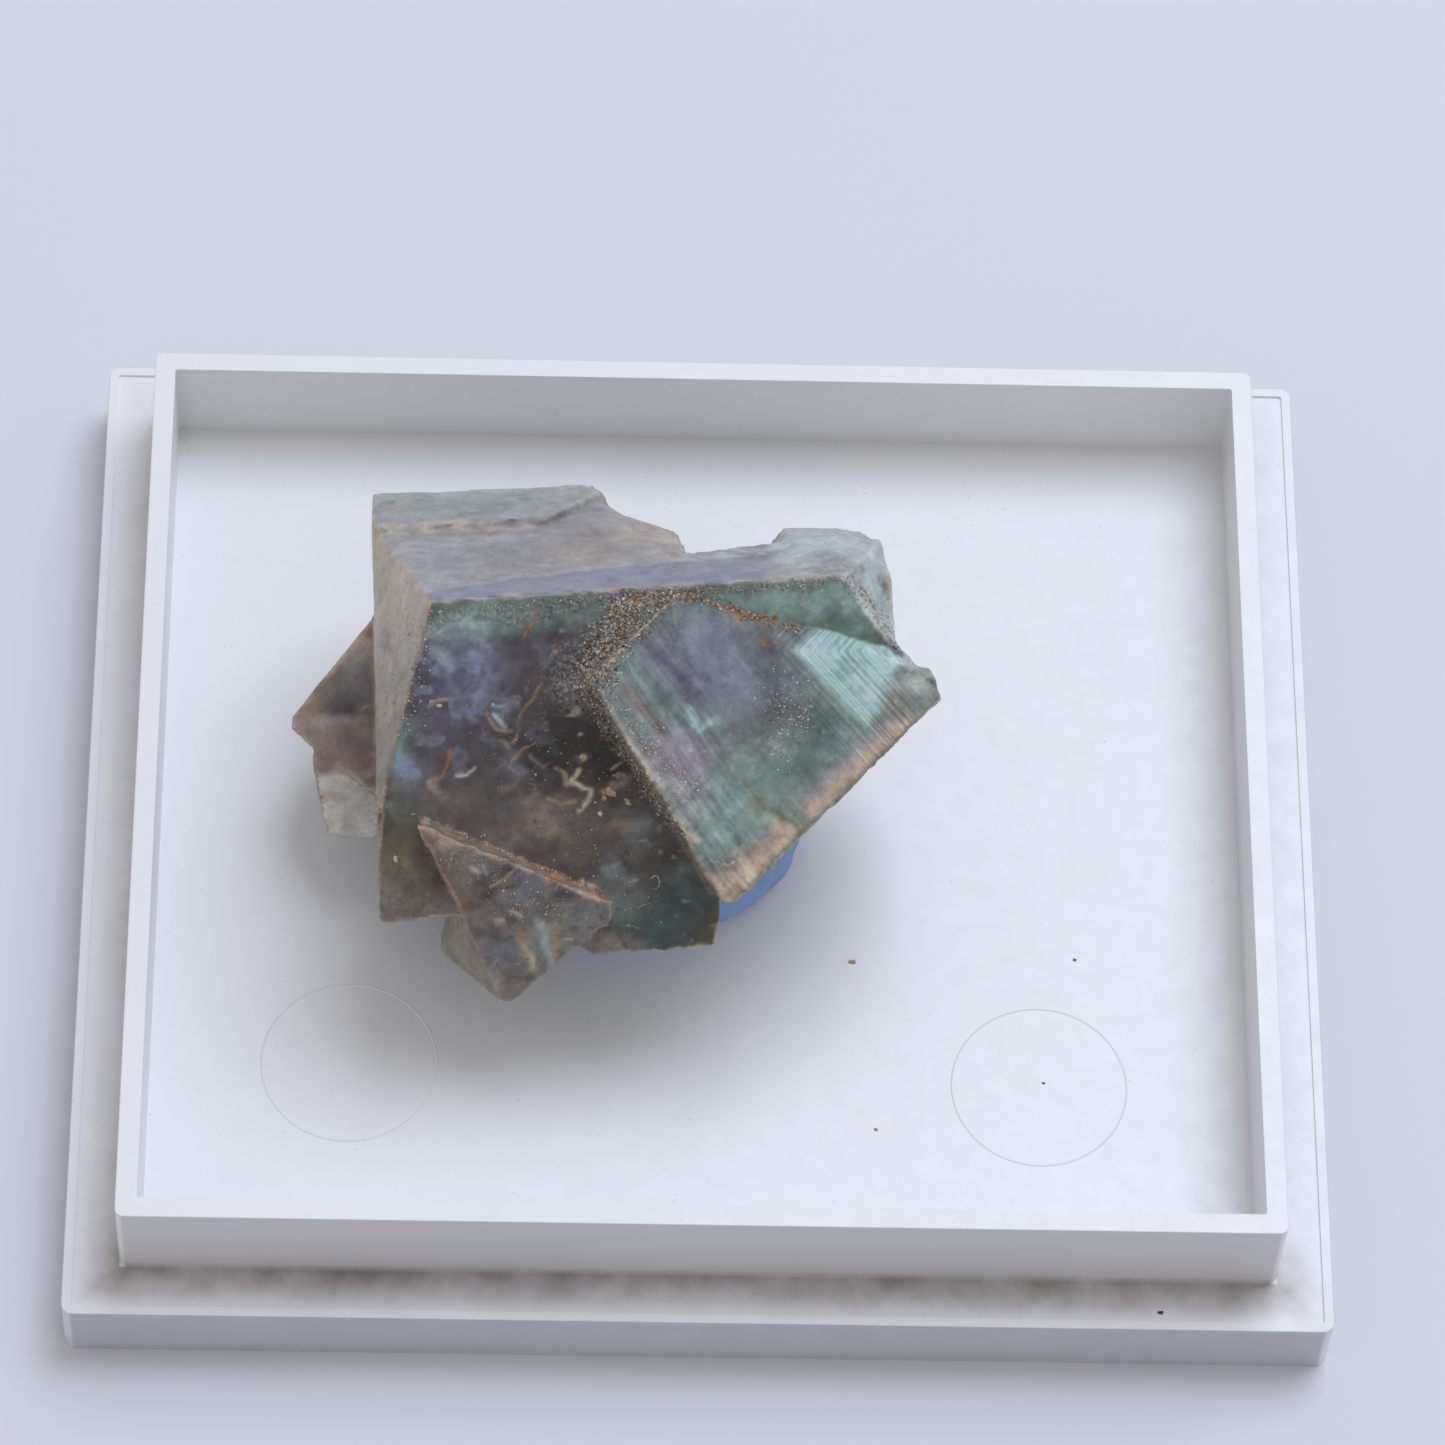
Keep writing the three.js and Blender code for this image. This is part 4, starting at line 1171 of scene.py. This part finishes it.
def smooth_path(path, step):
    """Points every step or so on a curve through the path's corners."""
    corners = [np.array(p, dtype=float) for p in path]
    corners = [2 * corners[0] - corners[1]] + corners + [2 * corners[-1] - corners[-2]]
    found = []
    for a, b, c, d in zip(corners, corners[1:], corners[2:], corners[3:]):
        count = max(2, int(np.linalg.norm(c - b) / step))
        for t in np.arange(count) / count:
            found.append(0.5 * (2 * b + (c - a) * t + (2 * a - 5 * b + 4 * c - d) * t**2
                                + (3 * b - a - 3 * c + d) * t**3))
    return found + [corners[-2]]


def film_strip(path, width, colour, surface, draw):
    """A thin raised strip on the surface that tapers to its ends."""
    spine = smooth_path([(x + draw.gauss(0, 0.03), y + draw.gauss(0, 0.03)) for x, y in path], width * 0.5)
    points, faces = [], []
    for i, (x, y) in enumerate(spine):
        hit = surface.under(x, y)
        if hit is None:
            return None
        place, normal = hit
        ahead = spine[min(i + 1, len(spine) - 1)] - spine[max(i - 1, 0)]
        side = np.cross(normal, [ahead[0], ahead[1], 0])
        side /= np.linalg.norm(side)
        taper = math.sin(math.pi * (i + 0.35) / (len(spine) - 0.3)) ** 0.6
        half = width / 2 * taper * draw.uniform(0.3, 1.5)
        points += [place + side * half - normal * STRIP_SINK, place + normal * half * 0.5,
                   place - side * half - normal * STRIP_SINK]
    for i in range(0, len(points) - 3, 3):
        faces += [(i, i + 1, i + 4, i + 3), (i + 1, i + 2, i + 5, i + 4), (i + 2, i, i + 3, i + 5)]
    faces += [(2, 1, 0), (len(points) - 3, len(points) - 2, len(points) - 1)]
    return coloured(np.array(points), faces, colour)


def chip(radius, draw):
    """Points and faces of a thin chip with a ragged outline, flat on the origin."""
    count = CHIP_CORNERS
    reach = [radius * draw.uniform(0.55, 1.15) for _ in range(count)]
    rim = np.array([[r * math.cos(math.tau * i / count), 0.7 * r * math.sin(math.tau * i / count), 0]
                    for i, r in enumerate(reach)])
    top = rim * 0.8 + [0, 0, radius * 0.22]
    form = np.concatenate([rim - [0, 0, CHIP_SINK], top, [[0, 0, radius * 0.3]], [[0, 0, -CHIP_SINK]]])
    faces = []
    for i in range(count):
        j = (i + 1) % count
        faces += [(i, j, j + count, i + count), (i + count, j + count, 2 * count), (j, i, 2 * count + 1)]
    return form, faces


def film_flake(x, y, radius, colour, surface, draw):
    hit = surface.under(x, y)
    if hit is None:
        return None
    place, normal = hit
    form, faces = chip(radius, draw)
    return coloured(form @ standing_on(normal) + place, faces, colour)


def joined_piece(name, parts, matrix, material):
    """One mesh of all the parts, each of them points in the cluster's frame, faces and colours."""
    points, faces, colours = [], [], []
    start = 0
    for part_points, part_faces, part_colours in parts:
        points.append(part_points)
        faces += [tuple(start + i for i in face) for face in part_faces]
        colours.append(part_colours)
        start += len(part_points)
    mesh = bpy.data.meshes.new(name)
    mesh.from_pydata(carried(np.concatenate(points), matrix).tolist(), [], faces)
    store_paint(mesh, np.concatenate(colours))
    return covered(new_object(name, mesh), material)


# Places of the quartz: the middle of the crust, and edges with their widths.
DRUSE_MIDDLE = ((6.6, -4.0), (7.6, -2.3), (8.6, -1.2), (9.9, -0.6))
TWIN_LEFT_EDGE = ((7.4, -6.0), (8.4, -7.8), (9.3, -9.4), (10.4, -11.1))
SUGARY_EDGES = (
    (((6.9, -4.5), *TWIN_LEFT_EDGE), 0.5),
    (((11.1, -0.5), (12.3, -0.9), (13.7, -1.5), (15.2, -2.0), (16.3, -2.6)), 0.35),
    (((-0.1, -0.9), (3.9, -0.8), (7.9, -0.5), (11.9, -0.4), (16.0, -0.5), (19.5, -0.4)), 0.3),
)
CRUST_COLOURS = (
    "pale", "grey_teal", "grey_brown", "pale", "smoke", "cream", "orange", "rust", "grey_teal", "pale",
)
CRUST_TOP_COLOURS = ("orange", "cream", "pale", "tan", "grey_teal")
CRUST_FOOT_COLOURS = ("rust", "smoke", "cream", "pale", "deep_smoke")
BROWN_COLOURS = ("cream", "tan", "grey_brown", "smoke", "pale", "olive")
RUSTY_COLOURS = ("orange", "rust", "cream", "tan", "tan")
PALE_COLOURS = ("pale", "cream", "tan", "light_grey", "grey_brown")
# White colours of quartz grains that stand in for glints: painted highlights.
WHITE_GLINT_COLOURS = ("white_grey", "pale", "white_grey")
# Strewn quartz: width, how many, crystal radius, colours and path.
STREWN = (
    (1.0, 1500, 0.036, CRUST_COLOURS, ((6.9, -4.2), (7.5, -2.8), (8.3, -1.7), (9.2, -1.0))),
    (0.4, 420, 0.036, CRUST_TOP_COLOURS, ((8.0, -1.0), (9.6, -0.75), (10.9, -0.55))),
    (0.5, 200, 0.036, CRUST_FOOT_COLOURS, ((6.8, -3.6), (7.3, -2.9), (8.3, -2.2))),
    (0.35, 700, 0.032, BROWN_COLOURS, ((6.8, -4.4), *TWIN_LEFT_EDGE)),
    (0.26, 300, 0.036, RUSTY_COLOURS,
     ((11.1, -0.6), (12.3, -1.0), (13.7, -1.6), (15.2, -2.1), (16.3, -2.6))),
    (0.18, 520, 0.026, PALE_COLOURS,
     ((-0.1, -0.6), (3.9, -0.5), (7.9, -0.4), (11.9, -0.4), (16.0, -0.5), (19.5, -0.4))),
    (0.9, 200, 0.028, PALE_COLOURS, ((-1.5, -6.0), (-1.2, -4.4), (-0.7, -2.6), (-0.3, -1.2))),
    (0.08, 260, 0.028, RUSTY_COLOURS,
     ((-1.5, -9.6), (0.0, -10.3), (1.9, -11.3), (3.8, -12.3), (5.6, -13.2), (7.0, -14.0))),
    (0.06, 420, 0.028, ("cream", "peach", "tan"), ((11.0, -0.52), (9.16, -2.02), (6.77, -4.1))),
    (0.35, 260, 0.034, PALE_COLOURS, ((18.6, -0.4), (19.9, -2.2), (20.6, -3.6))),
    (2.6, 380, 0.024, BROWN_COLOURS, ((2.0, -6.0), (7.0, -9.0), (5.0, -12.0), (10.0, -14.5))),
    (1.0, 300, 0.024, ("white_grey", "grey_teal", "white_grey"), ((14.8, -4.6), (16.0, -6.2), (15.0, -8.0))),
    # White quartz grains as painted glints on the twin's left part.
    (1.0, 380, 0.022, WHITE_GLINT_COLOURS, ((7.9, -5.2), (9.4, -7.4), (11.2, -9.6))),
    # White quartz grains as painted glints on the small crystal.
    (1.1, 260, 0.022, ("white_grey", "pale", "tan"),
     ((0.2, -11.0), (1.9, -12.2), (3.2, -14.2), (5.2, -14.0))),
)
# Thin strips: width, colour, path.
FILM_STRIPS = (
    (0.18, "orange", ((4.94, -0.79), (4.42, -1.47), (3.85, -2.16))),
    (0.09, "cream", CREAM_CURL),
    (0.07, "tan", TAN_CURL),
    (0.06, "orange", ORANGE_CURL[1:]),
    (0.08, "tan", ((3.08, -11.97), (2.81, -12.40), (2.42, -12.75), (1.76, -13.01))),
    (0.07, "cream", SHORT_CURL),
    (0.10, "cream", ((9.00, -13.52), (9.32, -13.40), (9.53, -13.70), (9.34, -14.01), (9.07, -13.94))),
    (0.09, "tan", ((9.26, -14.61), (8.86, -14.67), (8.44, -14.82), (8.25, -15.08))),
)
# Chips: x, y, radius and colour.
FILM_FLAKES = (
    (7.5, -9.3, 0.4, "tan"), (7.2, -9.6, 0.2, "tan"), (6.38, -7.65, 0.22, "tan"), (-0.24, -4.58, 0.2, "tan"),
    (0.1, -4.8, 0.16, "cream"), (1.35, -4.84, 0.10, "orange"), (1.41, -6.13, 0.10, "orange"),
    (2.50, -4.93, 0.11, "mint"), (2.64, -5.67, 0.11, "mint"), (4.08, -10.39, 0.12, "rust"),
    (5.02, -11.29, 0.12, "rust"), (-2.22, -11.64, 0.22, "pale"), (8.81, -0.63, 0.12, "orange"),
    (13.28, -1.64, 0.16, "orange"), (13.91, -1.69, 0.15, "orange"), (15.20, -1.94, 0.13, "rust"),
    (15.22, -3.08, 0.15, "orange"), (11.12, -3.65, 0.08, "tan"), (7.9, -8.6, 0.24, "grey_brown"),
    (8.3, -9.9, 0.22, "tan"), (7.0, -10.3, 0.18, "cream"),
)
# Specks on the tray and on the plate: place, radius and colour.
TRAY_SPECKS = (
    ((7.0, -6.6, TRAY_FLOOR), 0.22, "tan"),
    ((17.3, -6.3, TRAY_FLOOR), 0.13, "fibre_blue"),
    ((15.7, -12.7, TRAY_FLOOR), 0.10, "deep_smoke"),
    ((8.0, -15.2, TRAY_FLOOR), 0.13, "orange"),
    ((20.7, -24.2, PLATE_TOP), 0.17, "deep_smoke"),
)
CURL_AREA = ((1.0, -6.2), (4.0, -5.6), (6.6, -8.0), (6.4, -9.6), (3.0, -9.0))
CURL_COUNT = 60


def random_curls(draw):
    """Small loose curls: width, colour and path."""
    curls = []
    for x, y in along(CURL_AREA, 1.8, CURL_COUNT, draw):
        heading = draw.uniform(0, math.tau)
        bend = draw.uniform(-0.9, 0.9)
        step = draw.uniform(0.08, 0.2)
        path = [(x, y)]
        for _ in range(4):
            x, y = x + step * math.cos(heading), y + step * math.sin(heading)
            heading += bend
            path.append((x, y))
        curls.append((draw.uniform(0.03, 0.06), draw.choice(("grey_brown", "tan", "orange", "tan")), path))
    return curls


def dress_quartz(surface, matrix):
    draw = random.Random(QUARTZ_SEED)
    spots = []
    for width, count, radius, names, path in STREWN:
        for x, y in along(path, width, count, draw):
            spots.append((x, y, radius * draw.uniform(0.6, 1.7), colour_of(names, draw)))
    return joined_piece("quartz_druse", crystal_parts(spots, surface, draw), matrix, quartz_material())


def dress_films(surface, matrix):
    draw = random.Random(FILM_SEED)
    parts = []
    for width, colour, path in list(FILM_STRIPS) + random_curls(draw):
        parts.append(film_strip(path, width, linear(colour), surface, draw))
    for x, y, radius, colour in FILM_FLAKES:
        parts.append(film_flake(x, y, radius, linear(colour), surface, draw))
    return joined_piece("mineral_films", [part for part in parts if part], matrix, film_material())


def dress_specks():
    draw = random.Random(SPECK_SEED)
    parts = []
    for place, radius, colour in TRAY_SPECKS:
        form, faces = chip(radius, draw)
        parts.append(coloured(form + place, faces, linear(colour)))
    return joined_piece("tray_specks", parts, Matrix.Scale(MM, 4), film_material())


def dress_putty(node):
    """A kneaded lump, with the dents that fingers leave."""
    piece = modified(remeshed(copy_of(node, "putty_lump"), PUTTY_VOXEL), "SMOOTH",
                     factor=PUTTY_SMOOTHING, iterations=PUTTY_SMOOTHING_ROUNDS)
    mesh = piece.data
    points = vectors_of(mesh.vertices, "co") / MM
    above_floor = smoothstep(TRAY_FLOOR + 0.05, TRAY_FLOOR + 0.5, points[:, 2])
    dents = 0.35 * cloud(points, 3.2, 201) + 0.1 * cloud(points, 0.9, 202) - 0.05
    points = points + vectors_of(mesh.vertices, "normal") * (dents * above_floor)[:, None]
    too_far = np.maximum(PUTTY_FRONT - points[:, 1], 0) * smoothstep(2.0, 0.0, points[:, 0])
    points[:, 1] += 0.6 * too_far
    set_vertices(mesh, points * MM)
    return covered(piece, putty_material())


# Surroundings

def add_camera():
    data = bpy.data.cameras.new("camera")
    data.lens = CAMERA_LENS
    data.sensor_width = SENSOR_WIDTH
    data.sensor_fit = "HORIZONTAL"
    data.clip_start = 0.01
    camera = new_object("camera", data)
    axes = Matrix((CAMERA_RIGHT, CAMERA_UP, CAMERA_BACK)).transposed().to_4x4()
    camera.matrix_world = Matrix.Translation(Vector(CAMERA_PLACE) * MM) @ axes
    bpy.context.scene.camera = camera


def add_window():
    """The window's light, which looks at the middle of the tray."""
    data = bpy.data.lights.new("window", "AREA")
    data.shape = "DISK"
    data.size = WINDOW_SIZE
    data.energy = WINDOW_POWER
    data.color = WINDOW_COLOUR
    light = new_object("window", data)
    light.location = WINDOW_PLACE
    light.rotation_euler = (-Vector(WINDOW_PLACE)).to_track_quat("-Z", "Y").to_euler()


def add_room():
    world = bpy.data.worlds.new("soft_room")
    world.use_nodes = True
    background = world.node_tree.nodes["Background"]
    background.inputs["Color"].default_value = ROOM_COLOUR
    background.inputs["Strength"].default_value = ROOM_STRENGTH
    bpy.context.scene.world = world
    bpy.context.scene.view_settings.view_transform = "Standard"


def add_floor():
    bpy.ops.mesh.primitive_plane_add(size=FLOOR_SIZE)
    floor = covered(bpy.context.object, floor_material())
    floor.name = "floor"


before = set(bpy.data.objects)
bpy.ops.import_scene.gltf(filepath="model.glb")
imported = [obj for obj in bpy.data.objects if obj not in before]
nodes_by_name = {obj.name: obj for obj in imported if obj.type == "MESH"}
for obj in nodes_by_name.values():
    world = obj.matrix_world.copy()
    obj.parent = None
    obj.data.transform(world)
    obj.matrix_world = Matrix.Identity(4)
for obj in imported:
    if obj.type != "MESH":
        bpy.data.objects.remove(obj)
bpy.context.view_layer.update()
cluster = cluster_matrix()

fluorite_piece = dress_fluorite(nodes_by_name["fluorite"], cluster)
stone_surface = Surface(fluorite_piece, cluster)
pieces = {
    "box_base": (dress_box_base(nodes_by_name["box_base"]), "white_plastic"),
    "putty": (dress_putty(nodes_by_name["putty"]), "blue_putty"),
    "fluorite": (fluorite_piece, "fluorite"),
    "quartz_crust": (dress_quartz(stone_surface, cluster), "quartz"),
}
for node_name, (piece, slot_name) in pieces.items():
    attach(piece, "root")
    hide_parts(node_name)

for extra in (dress_films(stone_surface, cluster), dress_specks()):
    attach(extra, "root")

add_camera()
add_room()
add_window()
add_floor()
